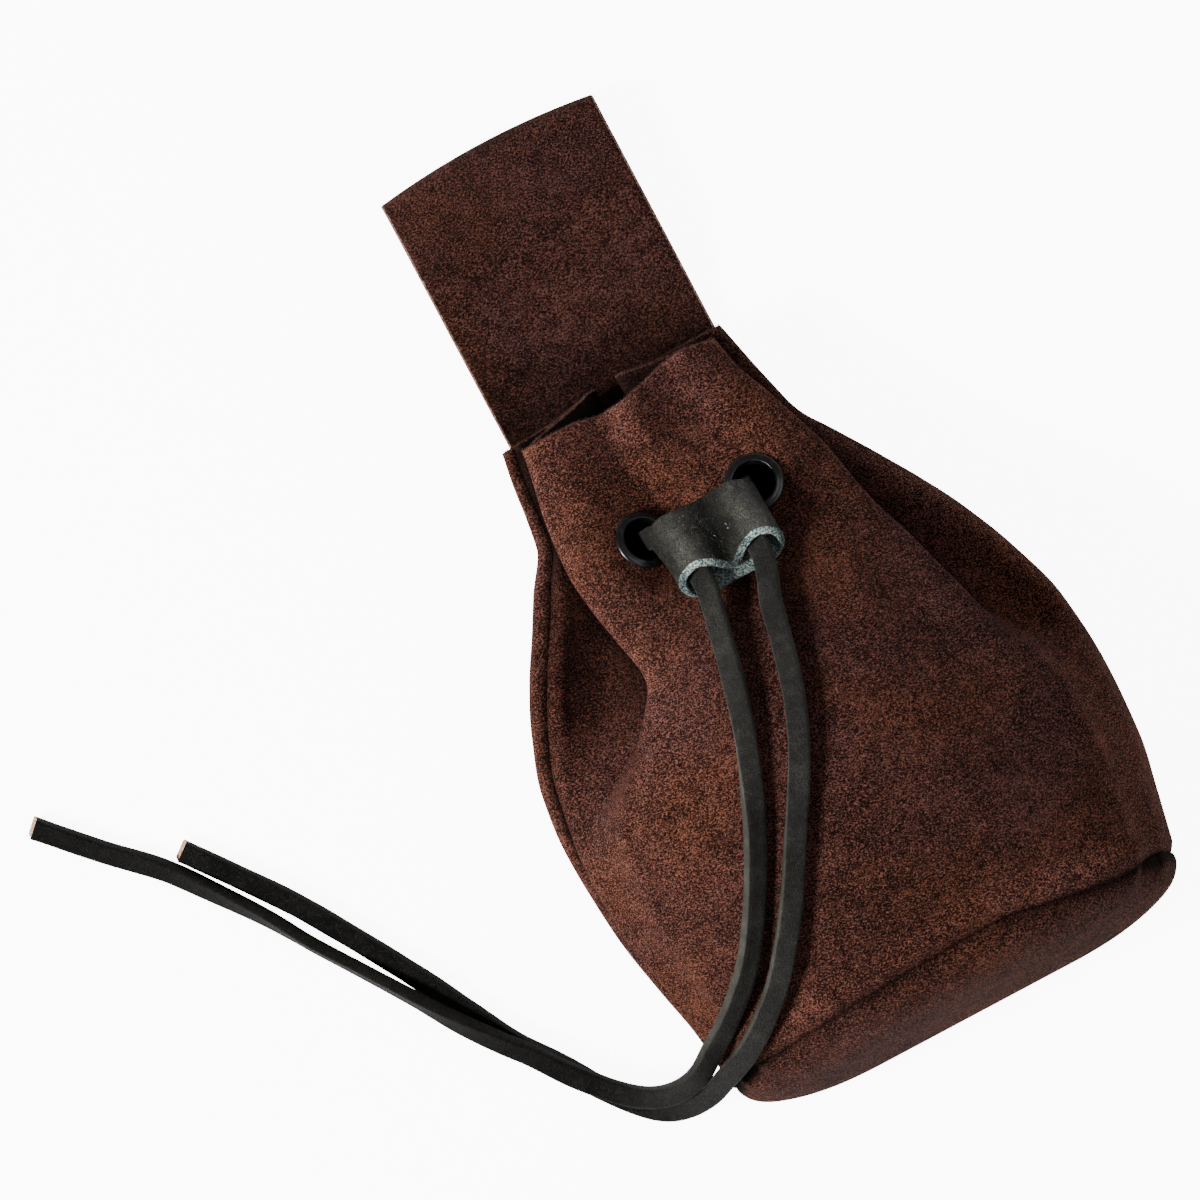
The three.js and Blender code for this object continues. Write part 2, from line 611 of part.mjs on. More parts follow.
// The base starts one seam gap past the edges of the other panels and swells outwards.
function baseGeometry() {
  const curve = curveAt(1);
  const rim = knotList(0, KNOTS)
    .slice(0, -1)
    .map((k) => bodyPoint(curve, k, 1));
  const centre = rim.reduce((sum, p) => sum.add(p), new THREE.Vector3()).divideScalar(rim.length);
  const yAt = (z) => RIM_Y - BODY_LENGTH + (BASE_OVERHANG * z) / BODY_DEPTH - SEAM_GAP;
  const rings = [0, 18, 36, 52, 66, 78].map((angle) => {
    const phi = THREE.MathUtils.degToRad(angle);
    const share = Math.cos(phi) ** 0.4;
    return rim.map((p) => {
      const x = centre.x + (p.x - centre.x) * share;
      const z = centre.z + (p.z - centre.z) * share;
      return new THREE.Vector3(x, yAt(z) - BASE_BULGE * Math.sin(phi), Math.max(z, LEATHER / 2));
    });
  });
  const cap = new THREE.Vector3(centre.x, yAt(centre.z) - BASE_BULGE, centre.z);
  const capNormal = new THREE.Vector3(0, -1, 0);
  return wall(rings, LEATHER, { closed: true, cap, capNormal });
}
addPiece(body, "base_panel", baseGeometry(), suede);

// Belt loop: one strap, rear layer on the surface, folded at the top, front layer back down to the same end
function loopGeometry() {
  const bend = (LOOP_OPENING + STRAP) / 2;
  const top = RIM_Y + LOOP_RISE;
  const tail = RIM_Y - LOOP_TAIL;
  const low = STRAP / 2;
  const sewn = low + STRAP + SEAM_GAP;
  const high = low + 2 * bend;
  const turnY = top - bend;
  const profile = [];
  for (const share of [0, 0.35, 0.65, 0.88]) profile.push([tail + (turnY - tail) * share, low]);
  for (let i = 0; i <= 8; i += 1) {
    const angle = -Math.PI / 2 + (i * Math.PI) / 8;
    profile.push([turnY + bend * Math.cos(angle), low + bend + bend * Math.sin(angle)]);
  }
  const rise = high - sewn;
  const neckY = RIM_Y + LOOP_RISE / 12;
  for (const [share, height] of [[0.28, 1], [0.5, 0.93], [0.68, 0.68], [0.82, 0.34], [0.92, 0.09], [1, 0]])
    profile.push([turnY + (neckY - turnY) * share, sewn + rise * height]);
  for (const share of [0.5, 1]) profile.push([neckY + (tail - neckY) * share, sewn]);
  const columns = 10;
  const grid = profile.map(([y, z]) => {
    const row = [];
    for (let j = 0; j <= columns; j += 1) {
      const share = (2 * j) / columns - 1;
      const nearTop = ease((y - (top - LOOP_RISE / 3)) / (LOOP_RISE / 3));
      const crown = LOOP_CROWN * nearTop * (1 - share * share);
      row.push(new THREE.Vector3((share * LOOP_WIDTH) / 2, y + crown - LOOP_CROWN * 0.25 * nearTop, z));
    }
    return row;
  });
  return wall(grid, STRAP);
}
addPiece(pouch, "belt_loop", loopGeometry(), suedeStrap);

// Eyelets: one ring each, flanges over and under the front
function eyeletGeometry() {
  const near = LEATHER / 2 + REST_GAP;
  const far = near + EYELET_FLANGE;
  const round = EYELET_FLANGE / 2;
  const outline = [
    [EYELET_HOLE_R, -near - round],
    [EYELET_HOLE_R + round, -far],
    [EYELET_OUTER_R - round, -far],
    [EYELET_OUTER_R, -near - round],
    [EYELET_OUTER_R, -near],
    [eyeletBarrelR, -near],
    [eyeletBarrelR, near],
    [EYELET_OUTER_R, near],
    [EYELET_OUTER_R, near + round],
    [EYELET_OUTER_R - round, far],
    [EYELET_HOLE_R + round, far],
    [EYELET_HOLE_R, near + round],
    [EYELET_HOLE_R, -near - round],
  ].map(([r, h]) => new THREE.Vector2(r, h));
  return new THREE.LatheGeometry(outline, 20).rotateX(Math.PI / 2);
}
for (const { name, centre, turn } of eyeletFrames) {
  const mount = new THREE.Group();
  mount.position.copy(centre);
  mount.rotation.copy(turn);
  pouch.add(mount);
  addPiece(mount, name, eyeletGeometry(), blackMetal);
}

// Slide: a strip of leather wrapped round both stretches of the lace
function slideGeometry() {
  const curve = new THREE.CatmullRomCurve3(
    SLIDE_SECTION.map(({ x, z }) => new THREE.Vector3(x, 0, z)),
    true,
    "centripetal",
  );
  const count = 2 * SLIDE_SECTION.length;
  const slope = THREE.MathUtils.degToRad(SLIDE_SLOPE);
  const halfWidth = SLIDE_HALF_WIDTH - SLIDE_WALL / 2;
  const grid = SLIDE.map((s) => {
    const depth = s.deep * SLIDE_HALF_DEPTH - SLIDE_WALL / 2;
    const row = [];
    for (let j = 0; j < count; j += 1) {
      const p = curve.getPoint(j / count);
      if (Math.abs(p.x) < LOBE && p.z > -0.5) p.z = 1 - (1 - p.z) * s.dip;
      const back = (s.cut * SLIDE_CUT * (1 - p.z)) / 2;
      row.push(
        new THREE.Vector3(
          s.x * BODY_HALF_WIDTH + p.x * s.wide * halfWidth,
          RIM_Y - s.along * BODY_LENGTH + Math.sin(slope) * p.z * depth - Math.cos(slope) * back,
          s.z * BODY_DEPTH + Math.cos(slope) * p.z * depth + Math.sin(slope) * back,
        ),
      );
    }
    return row;
  });
  return wall(grid, SLIDE_WALL, { closed: true });
}
addPiece(pouch, "lace_slide", slideGeometry(), blackLeather);

// A lace along its route. Its flat side faces up, or its width follows the route's side angles.
class LaceRoute extends THREE.CatmullRomCurve3 {
  constructor(route) {
    const place = ({ x, along, z }) =>
      new THREE.Vector3(x * BODY_HALF_WIDTH, RIM_Y - along * BODY_LENGTH, z * BODY_DEPTH);
    super(route.map(place), false, "centripetal");
    this.sides = route.map(({ side }) => side);
    this.arcLengthDivisions = 20 * route.length;
  }
  // Direction of the lace's width at a share of its points.
  widthAt(share, tangent) {
    if (this.sides[0] === undefined) return new THREE.Vector3(0, 0, 1).cross(tangent).normalize();
    const place = share * (this.sides.length - 1);
    const i = Math.min(Math.floor(place), this.sides.length - 2);
    const angle = THREE.MathUtils.degToRad(this.sides[i] + (this.sides[i + 1] - this.sides[i]) * (place - i));
    const width = new THREE.Vector3(Math.cos(angle), Math.sin(angle), 0);
    return width.addScaledVector(tangent, -width.dot(tangent)).normalize();
  }
  computeFrenetFrames(segments) {
    const tangents = [];
    const normals = [];
    const binormals = [];
    for (let i = 0; i <= segments; i += 1) {
      const share = this.getUtoTmapping(i / segments);
      const tangent = this.getTangent(share).normalize();
      const width = this.widthAt(share, tangent);
      tangents.push(tangent);
      normals.push(width);
      binormals.push(tangent.clone().cross(width));
    }
    return { tangents, normals, binormals };
  }
}

// Section of the lace: a flat strip with eased corners.
function laceSection() {
  const w = LACE_WIDTH / 2;
  const h = LACE_THICK / 2;
  const c = LACE_THICK / 7;
  const corners = [
    [w, c - h],
    [w, h - c],
    [w - c, h],
    [c - w, h],
    [-w, h - c],
    [-w, c - h],
    [c - w, -h],
    [w - c, -h],
  ];
  return new THREE.Shape(corners.map(([x, y]) => new THREE.Vector2(x, y)));
}

function laceGeometry(route, pitch) {
  const extrudePath = new LaceRoute(route);
  const steps = Math.ceil(extrudePath.getLength() / pitch);
  return new THREE.ExtrudeGeometry(laceSection(), { steps, extrudePath, bevelEnabled: false });
}
addPiece(pouch, "lace_neck", laceGeometry(NECK_ROUTE, 0.75 * LACE_WIDTH), blackLace);
addPiece(pouch, "lace_left", laceGeometry(LEFT_ROUTE, 1.5 * LACE_WIDTH), blackLace);
addPiece(pouch, "lace_right", laceGeometry(RIGHT_ROUTE, 1.5 * LACE_WIDTH), blackLace);

export default pouch;
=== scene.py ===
import math

import bpy
import numpy as np
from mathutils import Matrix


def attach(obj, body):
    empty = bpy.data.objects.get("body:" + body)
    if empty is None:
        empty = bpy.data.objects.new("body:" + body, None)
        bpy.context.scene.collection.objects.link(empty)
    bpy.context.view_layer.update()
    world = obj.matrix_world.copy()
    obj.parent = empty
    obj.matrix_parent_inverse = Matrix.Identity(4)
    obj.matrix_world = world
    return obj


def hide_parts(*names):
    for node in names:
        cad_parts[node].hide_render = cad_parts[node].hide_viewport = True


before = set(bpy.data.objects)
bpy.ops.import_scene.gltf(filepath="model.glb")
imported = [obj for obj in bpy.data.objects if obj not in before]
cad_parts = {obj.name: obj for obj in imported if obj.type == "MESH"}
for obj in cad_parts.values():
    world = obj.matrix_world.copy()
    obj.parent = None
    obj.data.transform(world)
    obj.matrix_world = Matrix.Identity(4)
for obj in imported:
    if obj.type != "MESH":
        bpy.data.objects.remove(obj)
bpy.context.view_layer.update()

MM = 0.001

# ---- Sizes, in millimetres ----
LEATHER = 1.8
STRAP = 1.8
SEAM_GAP = 0.3
REST_GAP = 0.3
BODY_LENGTH = 154.0
BODY_HALF_WIDTH = 62.0
BODY_DEPTH = 52.0
RIM_Y = 88.0
RIM_SKEW = 0.045
RIM_DROP = 4.2
BASE_OVERHANG = 13.0
BASE_BULGE = 9.0
LOOP_WIDTH = 52.4
LOOP_RISE = 60.0
LOOP_TAIL = 39.0
LOOP_OPENING = 6.0
LOOP_CROWN = 1.9
EYELET_OUTER_R = 6.75
EYELET_HOLE_R = 4.75
EYELET_WALL = 0.6
EYELET_FLANGE = 0.9
LACE_WIDTH = 4.8
LACE_THICK = 2.8
SLIDE_WALL = 1.6
SLIDE_HALF_WIDTH = 12.9
SLIDE_HALF_DEPTH = 4.4
SLIDE_SLOPE = math.radians(26)
SLIDE_CUT = 5.0


def table(names, rows):
    """A table with named columns, as one array for each name."""
    return {name: np.array([row[i] for row in rows], dtype=float) for i, name in enumerate(names.split())}


# Sections of the body from the rim (0) to the base seam (1), as shares of half width and depth.
OUTLINE = table("along left right lift side under_in under_up over_in over_up", [
    (0, 0.448, 0.44, 1, 0.123, 0.019, 0, 0.019, 0.025),
    (0.052, 0.468, 0.471, 1, 0.123, 0.019, 0, 0.019, 0.025),
    (0.104, 0.479, 0.503, 1, 0.125, 0.021, 0, 0.021, 0.029),
    (0.156, 0.497, 0.539, 1, 0.133, 0.026, 0, 0.027, 0.037),
    (0.214, 0.589, 0.629, 1, 0.163, 0.042, 0.004, 0.042, 0.046),
    (0.266, 0.666, 0.719, 1, 0.198, 0.065, 0.012, 0.048, 0.058),
    (0.325, 0.755, 0.811, 0.35, 0.231, 0.097, 0.019, 0.048, 0.073),
    (0.39, 0.832, 0.9, 0, 0.26, 0.123, 0.027, 0.04, 0.092),
    (0.474, 0.897, 0.987, 0, 0.279, 0.139, 0.031, 0.026, 0.123),
    (0.571, 0.918, 1.055, 0, 0.288, 0.145, 0.035, 0.015, 0.146),
    (0.688, 0.902, 1.081, 0, 0.288, 0.145, 0.035, 0.013, 0.154),
    (0.805, 0.855, 1.068, 0, 0.288, 0.145, 0.035, 0.013, 0.154),
    (0.896, 0.813, 1.032, 0, 0.281, 0.145, 0.035, 0.013, 0.154),
    (1, 0.784, 0.984, 0, 0.273, 0.145, 0.035, 0.015, 0.154),
])
GUSSET = table("along fold_l tip_lx tip_lz dip_l ridge_lx ridge_lz fold_r tip_rx tip_rz dip_r ridge_rx ridge_rz", [
    (0, 1, -0.073, 0.242, 0.173, -0.384, 0.375, 1, 0.037, 0.242, 0.173, 0.39, 0.375),
    (0.052, 1, -0.074, 0.24, 0.173, -0.403, 0.373, 1, 0.045, 0.24, 0.173, 0.416, 0.373),
    (0.104, 1, -0.079, 0.244, 0.175, -0.424, 0.383, 1, 0.058, 0.244, 0.177, 0.465, 0.383),
    (0.156, 1, -0.087, 0.252, 0.181, -0.439, 0.402, 1, 0.081, 0.254, 0.188, 0.511, 0.396),
    (0.214, 1, -0.105, 0.265, 0.183, -0.447, 0.431, 1, 0.129, 0.273, 0.205, 0.561, 0.421),
    (0.266, 1, -0.153, 0.27, 0.168, -0.434, 0.488, 1, 0.21, 0.302, 0.21, 0.587, 0.469),
    (0.325, 0.95, -0.25, 0.3, 0.18, -0.406, 0.577, 0.95, 0.387, 0.342, 0.24, 0.62, 0.538),
    (0.39, 0.75, -0.305, 0.355, 0.225, -0.375, 0.677, 0.85, 0.47, 0.39, 0.3, 0.675, 0.615),
    (0.474, 0.35, -0.5, 0.465, 0.41, -0.49, 0.746, 0.7, 0.645, 0.46, 0.375, 0.735, 0.692),
    (0.571, 0, -0.8, 0.596, 0.51, -0.665, 0.781, 0.45, 0.845, 0.52, 0.435, 0.8, 0.735),
    (0.63, 0, -0.825, 0.592, 0.517, -0.69, 0.772, 0.15, 0.94, 0.566, 0.485, 0.85, 0.75),
    (0.688, 0, -0.832, 0.588, 0.515, -0.7, 0.762, 0, 0.987, 0.592, 0.515, 0.868, 0.758),
    (0.805, 0, -0.787, 0.581, 0.512, -0.674, 0.746, 0, 0.977, 0.592, 0.515, 0.865, 0.754),
    (0.896, 0, -0.752, 0.569, 0.504, -0.648, 0.723, 0, 0.945, 0.581, 0.508, 0.839, 0.735),
    (1, 0, -0.726, 0.55, 0.492, -0.632, 0.692, 0, 0.903, 0.562, 0.492, 0.81, 0.704),
])
FRONT = table("along f1 f2 f3 f4 f5 f6 f7", [
    (0, 0.428, 0.41, 0.394, 0.456, 0.432, 0.42, 0.446),
    (0.052, 0.434, 0.412, 0.39, 0.454, 0.431, 0.418, 0.448),
    (0.104, 0.458, 0.428, 0.396, 0.442, 0.432, 0.424, 0.452),
    (0.156, 0.496, 0.462, 0.41, 0.427, 0.448, 0.45, 0.462),
    (0.214, 0.525, 0.483, 0.421, 0.435, 0.477, 0.496, 0.485),
    (0.266, 0.562, 0.531, 0.488, 0.504, 0.538, 0.55, 0.535),
    (0.325, 0.646, 0.638, 0.619, 0.627, 0.646, 0.646, 0.615),
    (0.39, 0.75, 0.773, 0.777, 0.781, 0.785, 0.762, 0.704),
    (0.474, 0.837, 0.888, 0.908, 0.915, 0.908, 0.877, 0.8),
    (0.571, 0.881, 0.95, 0.981, 0.992, 0.981, 0.938, 0.854),
    (0.688, 0.892, 0.965, 1, 1.012, 1, 0.962, 0.881),
    (0.805, 0.877, 0.95, 0.985, 0.996, 0.988, 0.954, 0.881),
    (0.896, 0.846, 0.915, 0.946, 0.954, 0.95, 0.923, 0.858),
    (1, 0.808, 0.865, 0.892, 0.9, 0.896, 0.869, 0.812),
])
RIM_FRONT = (0.55, 0.65, 1, 0.95, 0.7, 0.35, 0.2)
RIM_AT_KNOT = np.array(
    [0, 0, 0.1, 0.1, 0.05, -0.05] + [-0.38] * 3 + [0.5] * 3 + list(reversed(RIM_FRONT))
    + [0.55] * 3 + [-0.34] * 3 + [0.05, 0.1, 0.1, 0.1, 0]
)
KNOTS = 30
SEAM_RIGHT, RIDGE_RIGHT, RIDGE_LEFT, SEAM_LEFT = 2, 10, 20, 26

# Name, centre and tilts of each eyelet.
EYELETS = [
    ("eyelet_left", (-10.354, 54.505, 24.336), 10, 26),
    ("eyelet_right", (17.608, 54.197, 25.844), 13, -2),
]

# Routes of the two free ends of the lace, in millimetres.
LEFT_ROUTE = [
    (-2.6, 42.8, 37.9), (-2.8, 38.5, 40), (-3.5, 34.5, 41.9), (-4.6, 29.5, 44.3), (-6.4, 21.3, 48.3),
    (-8.6, 12.9, 51.3), (-10.8, 5.9, 52.9), (-15.4, -6, 53.8), (-20.3, -16.7, 53.2), (-25.2, -25.6, 51.6),
    (-29.7, -32.8, 49.4), (-34.6, -39.4, 46.4), (-39.4, -44.2, 43), (-44.6, -48.6, 37.8), (-49.4, -51.9, 32.2),
    (-54.6, -55.6, 27.6), (-60, -57, 21.8), (-65.4, -56.3, 15), (-70.7, -53.4, 8.4), (-76, -48.3, 5.5),
    (-81.1, -42.2, 5), (-86.2, -35.1, 5), (-90.6, -29.8, 5), (-97.2, -21, 5), (-103.9, -10.8, 4.8),
    (-110.8, -0.6, 3.2), (-117.5, 9.3, 1.8), (-123.9, 19.5, 1.7), (-131.3, 29.7, 1.7), (-139.2, 39.9, 1.7),
    (-149.4, 50, 1.7), (-161.3, 62.7, 1.7),
]
RIGHT_ROUTE = [
    (11.8, 42.8, 38), (11.4, 38.5, 40.2), (10.2, 34.5, 42), (8.3, 29.5, 44.6), (6.4, 21.3, 49), (5, 15.8, 51.3),
    (3.4, 10.2, 53), (1.4, 4.8, 54.2), (-1.4, -1.5, 54.9), (-5.8, -9.4, 55.1), (-10.8, -17.5, 54.7),
    (-15.4, -25.2, 53.8), (-20.3, -32.9, 52.3), (-25.1, -39.4, 50.2), (-29.8, -45.1, 47.2), (-34.6, -49.7, 43.9),
    (-39.4, -53.5, 41), (-44.4, -56.6, 36.2), (-49.5, -58.9, 30.4), (-54.7, -61, 22.4), (-60.1, -61.4, 14.2),
    (-65.5, -59.9, 8), (-70.8, -55.4, 3.2), (-76, -48.8, 1.8), (-81.1, -40.7, 1.7), (-87.8, -31.5, 1.7),
    (-93.3, -21.3, 1.7), (-98.7, -11.1, 1.7), (-104.5, -0.9, 1.7), (-110.6, 9.3, 1.7), (-117.1, 19.6, 1.7),
    (-124.8, 30.1, 1.7), (-134.3, 42.6, 1.7),
]
# Route of the hidden stretch, with the turn of the lace's width in degrees.
NECK_ROUTE = [
    (-2.5, 43.2, 37.7, 0), (-2.7, 47, 35.8, 0), (-3, 50.2, 34.5, 4), (-4.3, 52.6, 33, 24), (-6.9, 54.2, 29.9, 66),
    (-8.7, 54.4, 25.5, 90), (-9.6, 54.4, 20.5, 90), (-9.6, 54.4, 14.5, 90), (-8.6, 54.4, 10.1, 90),
    (-5, 54.4, 7.9, 90), (0, 54.4, 7.75, 90), (5, 54.4, 7.75, 90), (11, 54.4, 7.9, 90), (14.8, 54.2, 9.4, 90),
    (16.1, 54.4, 13.5, 90), (16.2, 54.2, 19, 90), (16.1, 54, 25, 90), (15, 54, 29.2, 70), (13.3, 52.5, 32.4, 24),
    (12.2, 50.2, 34.3, 4), (12, 47, 35.7, 0), (11.9, 43.2, 37.8, 0),
]


# ---- Camera, seen straight down on the pouch ----
CAMERA_PLACE = (-24.8 * MM, 47.6 * MM, 2.6)
CAMERA_TURN = math.radians(-28.03)
CAMERA_LENS = 348


def add_to_scene(name, data):
    obj = bpy.data.objects.new(name, data)
    bpy.context.scene.collection.objects.link(obj)
    return obj


def set_camera():
    data = bpy.data.cameras.new("photo_camera")
    data.sensor_width = 36
    data.lens = CAMERA_LENS
    data.clip_end = 20
    camera = add_to_scene("photo_camera", data)
    camera.location = CAMERA_PLACE
    camera.rotation_euler = (0, 0, CAMERA_TURN)
    bpy.context.scene.camera = camera


set_camera()


# ---- Curves and grids ----
def spline(points, closed, places):
    """Centripetal spline through points, at places counted in points. Works on (..., 3) arrays of any width."""
    pts = np.asarray(points, dtype=float)
    n = len(pts)
    places = np.asarray(places, dtype=float)
    k = np.floor(places).astype(int)
    t = (places - k)[:, None]
    if closed:
        p0, p1, p2, p3 = (pts[(k + d) % n] for d in (-1, 0, 1, 2))
    else:
        t = np.where((k >= n - 1)[:, None], 1.0, t)
        k = np.clip(k, 0, n - 2)
        before = 2 * pts[0] - pts[1]
        after = 2 * pts[-1] - pts[-2]
        whole = np.vstack([before, pts, after])
        p0, p1, p2, p3 = (whole[k + d] for d in (0, 1, 2, 3))
    root = lambda a, b: np.maximum(np.linalg.norm(a - b, axis=1), 1e-6)[:, None] ** 0.5
    d0, d1, d2 = root(p0, p1), root(p1, p2), root(p2, p3)
    m1 = ((p1 - p0) / d0 - (p2 - p0) / (d0 + d1) + (p2 - p1) / d1) * d1
    m2 = ((p2 - p1) / d1 - (p3 - p1) / (d1 + d2) + (p3 - p2) / d2) * d1
    return (
        (2 * t**3 - 3 * t**2 + 1) * p1 + (t**3 - 2 * t**2 + t) * m1
        + (-2 * t**3 + 3 * t**2) * p2 + (t**3 - t**2) * m2
    )


def line_through(route, per_point):
    """Points along the open spline through a route, so many for each of its points."""
    return spline(route, False, np.linspace(0, len(route) - 1, per_point * len(route)))


def run_up(points, axis=0):
    """Length up to each point of a line, or of the lines of a grid that run along an axis of it."""
    steps = np.linalg.norm(np.diff(points, axis=axis), axis=-1)
    return np.cumsum(np.insert(steps, 0, 0, axis=axis), axis=axis)


def at(columns, name, along):
    """Smooth value of a table's column, without overshoot between its rows."""
    x, y = columns["along"], columns[name]
    slopes = np.diff(y) / np.diff(x)
    tangents = np.zeros(len(y))
    tangents[0], tangents[-1] = slopes[0], slopes[-1]
    for i in range(1, len(y) - 1):
        a, b = slopes[i - 1], slopes[i]
        tangents[i] = 2 * a * b / (a + b) if a * b > 0 else 0
    i = int(np.clip(np.searchsorted(x, along, side="left") - 1, 0, len(x) - 2))
    span = x[i + 1] - x[i]
    t = min(max((along - x[i]) / span, 0), 1)
    rise = y[i + 1] - y[i]
    a, b = tangents[i] * span, tangents[i + 1] * span
    return y[i] + t * (a + t * (3 * rise - 2 * a - b + t * (a + b - 2 * rise)))


def ease(t):
    """Smooth step from 0 to 1."""
    u = np.clip(t, 0, 1)
    return u * u * (3 - 2 * u)


def bell(distance, reach):
    """1 at no distance, falling off to nothing past reach."""
    return np.exp(-((distance / reach) ** 2))


def unit(vectors):
    return vectors / np.maximum(np.linalg.norm(vectors, axis=-1, keepdims=True), 1e-9)


# A fold's hairpin, the reach of a fold that has opened to a soft corner, and how deep the hollow beside it lies.
HAIRPIN = 0.85 * LEATHER
HAIRPIN_BACK = 0.7 * LEATHER
CORNER = BODY_DEPTH / 17
HOLLOW_SHARE = 0.56


def fold_knots(x, z, side, fold, slant_x, slant_z):
    """Upper, tip and lower knot of a fold that points along side."""
    dx = lambda s: (1 - fold) * s * slant_x * CORNER - fold * side * HAIRPIN_BACK
    dz = lambda s: (1 - fold) * s * slant_z * CORNER + fold * s * HAIRPIN
    return [(x + dx(1), z + dz(1)), (x, z), (x + dx(-1), z + dz(-1))]


def back_height(along):
    """Height of the back panel's mid wall, which lies over the sewn end of the strap at the rim."""
    return LEATHER / 2 + at(OUTLINE, "lift", along) * (2 * STRAP + SEAM_GAP + REST_GAP)


def section_knots(along):
    """Knots of the body's section at mid wall, from the middle of the back round by the right side."""
    o = lambda name: at(OUTLINE, name, along)
    g = lambda name: at(GUSSET, name, along)
    w, d = BODY_HALF_WIDTH, BODY_DEPTH
    left, right = -o("left") * w, o("right") * w
    back, side = back_height(along), o("side") * d
    under = (o("under_in") * w, o("under_up") * d)
    over = (o("over_in") * w, o("over_up") * d)
    fold = lambda knot, side, *slant: fold_knots(
        g(knot + "x") * w, g(knot + "z") * d, side, g("fold_" + knot[-1]), *slant)
    tip_r, tip_l = fold("tip_r", -1, -0.6, 0.8), fold("tip_l", 1, 0.6, 0.8)
    ridge_r, ridge_l = fold("ridge_r", 1, -0.85, 0.5), fold("ridge_l", -1, 0.85, 0.5)
    hollow = lambda over_x, tip_x: over_x + (tip_x - over_x) * HOLLOW_SHARE
    front = []
    for i in range(1, 8):
        x = ridge_r[0][0] + (ridge_l[0][0] - ridge_r[0][0]) * i / 8
        front.append((x, at(FRONT, f"f{8 - i}", along) * d))
    knots = [
        ((left + right) / 2, back),
        (0.3 * left + 0.7 * right, back),
        (right - under[0], back + under[1]),
        (right, side),
        (right - over[0], side + over[1]),
        (hollow(right - over[0], tip_r[2][0]), g("dip_r") * d),
        *reversed(tip_r),
        *reversed(ridge_r),
        *front,
        *ridge_l,
        *tip_l,
        (hollow(left + over[0], tip_l[2][0]), g("dip_l") * d),
        (left + over[0], side + over[1]),
        (left, side),
        (left + under[0], back + under[1]),
        (0.7 * left + 0.3 * right, back),
    ]
    return np.array([(x, 0, z) for x, z in knots])


def eyelet_axis(lean, turn):
    """Axis of an eyelet that leans to the mouth and turns to +X."""
    a, b = math.radians(lean), math.radians(turn)
    return np.array([math.cos(a) * math.sin(b), math.sin(a), math.cos(a) * math.cos(b)])


def from_axis(points, centre, axis):
    """Height of points along an eyelet's axis, and their distance from it."""
    offset = points - np.array(centre)
    height = offset @ axis
    return height, np.sqrt(np.maximum((offset**2).sum(-1) - height**2, 0))


def body_points(places, along):
    """Points of the body's mid surface for one section, at places counted in knots."""
    places = np.asarray(places)
    p = spline(section_knots(along), True, places)
    k = np.floor(places).astype(int)
    rim, next_rim = RIM_AT_KNOT[k % KNOTS], RIM_AT_KNOT[(k + 1) % KNOTS]
    rim = rim + (next_rim - rim) * (places - k)
    near_rim = 1 - ease(along / 0.16)
    near_base = ease((along - 0.72) / 0.28)
    z = np.maximum(p[:, 2], back_height(along))
    y = (
        RIM_Y - along * BODY_LENGTH - near_rim * (RIM_DROP * rim - RIM_SKEW * p[:, 0])
        + near_base * BASE_OVERHANG * z / BODY_DEPTH
    )
    points = np.stack([p[:, 0], y, z], axis=1)
    front = (places >= RIDGE_RIGHT + 1) & (places <= RIDGE_LEFT - 1)
    for _, centre, lean, turn in EYELETS:
        axis = eyelet_axis(lean, turn)
        height, radius = from_axis(points, centre, axis)
        flat = EYELET_OUTER_R + LEATHER / 2
        weight = (1 - ease((radius - flat) / flat)) * front
        points = points - (height * weight)[:, None] * axis
    return points


def grid_normals(grid, closed=False):
    """Unit normals of a grid of points, rows by columns."""
    along = np.gradient(grid, axis=0)
    if closed:
        across = np.roll(grid, -1, axis=1) - np.roll(grid, 1, axis=1)
    else:
        across = np.gradient(grid, axis=1)
    return unit(np.cross(across, along))


def add_object(name, vertices, faces, slots, face_slots, smooth_angle=40, painted_light_and_wear=None):
    """A mesh object in metres from points in millimetres, riding on the pouch.

    painted_light_and_wear: at each vertex, the share of its colour kept: over 1 paints light on ridges, crests and
    edges, partly rubbed wear; under 1 paints shade in folds, hollows and seams.
    """
    mesh = bpy.data.meshes.new(name)
    mesh.from_pydata((np.asarray(vertices) * MM).tolist(), [], faces)
    for material in slots:
        mesh.materials.append(material)
    mesh.polygons.foreach_set("material_index", face_slots)
    mesh.polygons.foreach_set("use_smooth", [True] * len(faces))
    mesh.set_sharp_from_angle(angle=math.radians(smooth_angle))
    # Each vertex carries a share of its colour: painted light over 1, painted shade under 1, partly wear.
    layer = mesh.attributes.new("painted_light_and_wear", "FLOAT", "POINT")
    layer.data.foreach_set("value", np.ones(len(vertices)) if painted_light_and_wear is None else np.asarray(painted_light_and_wear, dtype=float))
    mesh.update()
    obj = add_to_scene(name, mesh)
    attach(obj, "root")
    return obj


# A cut edge is rounded by two lines of points: their height, as a share of the wall, and their share of the swell.
EDGE_HEIGHT, EDGE_OUT = 0.32, 0.8
SKIVED_ROWS = 8


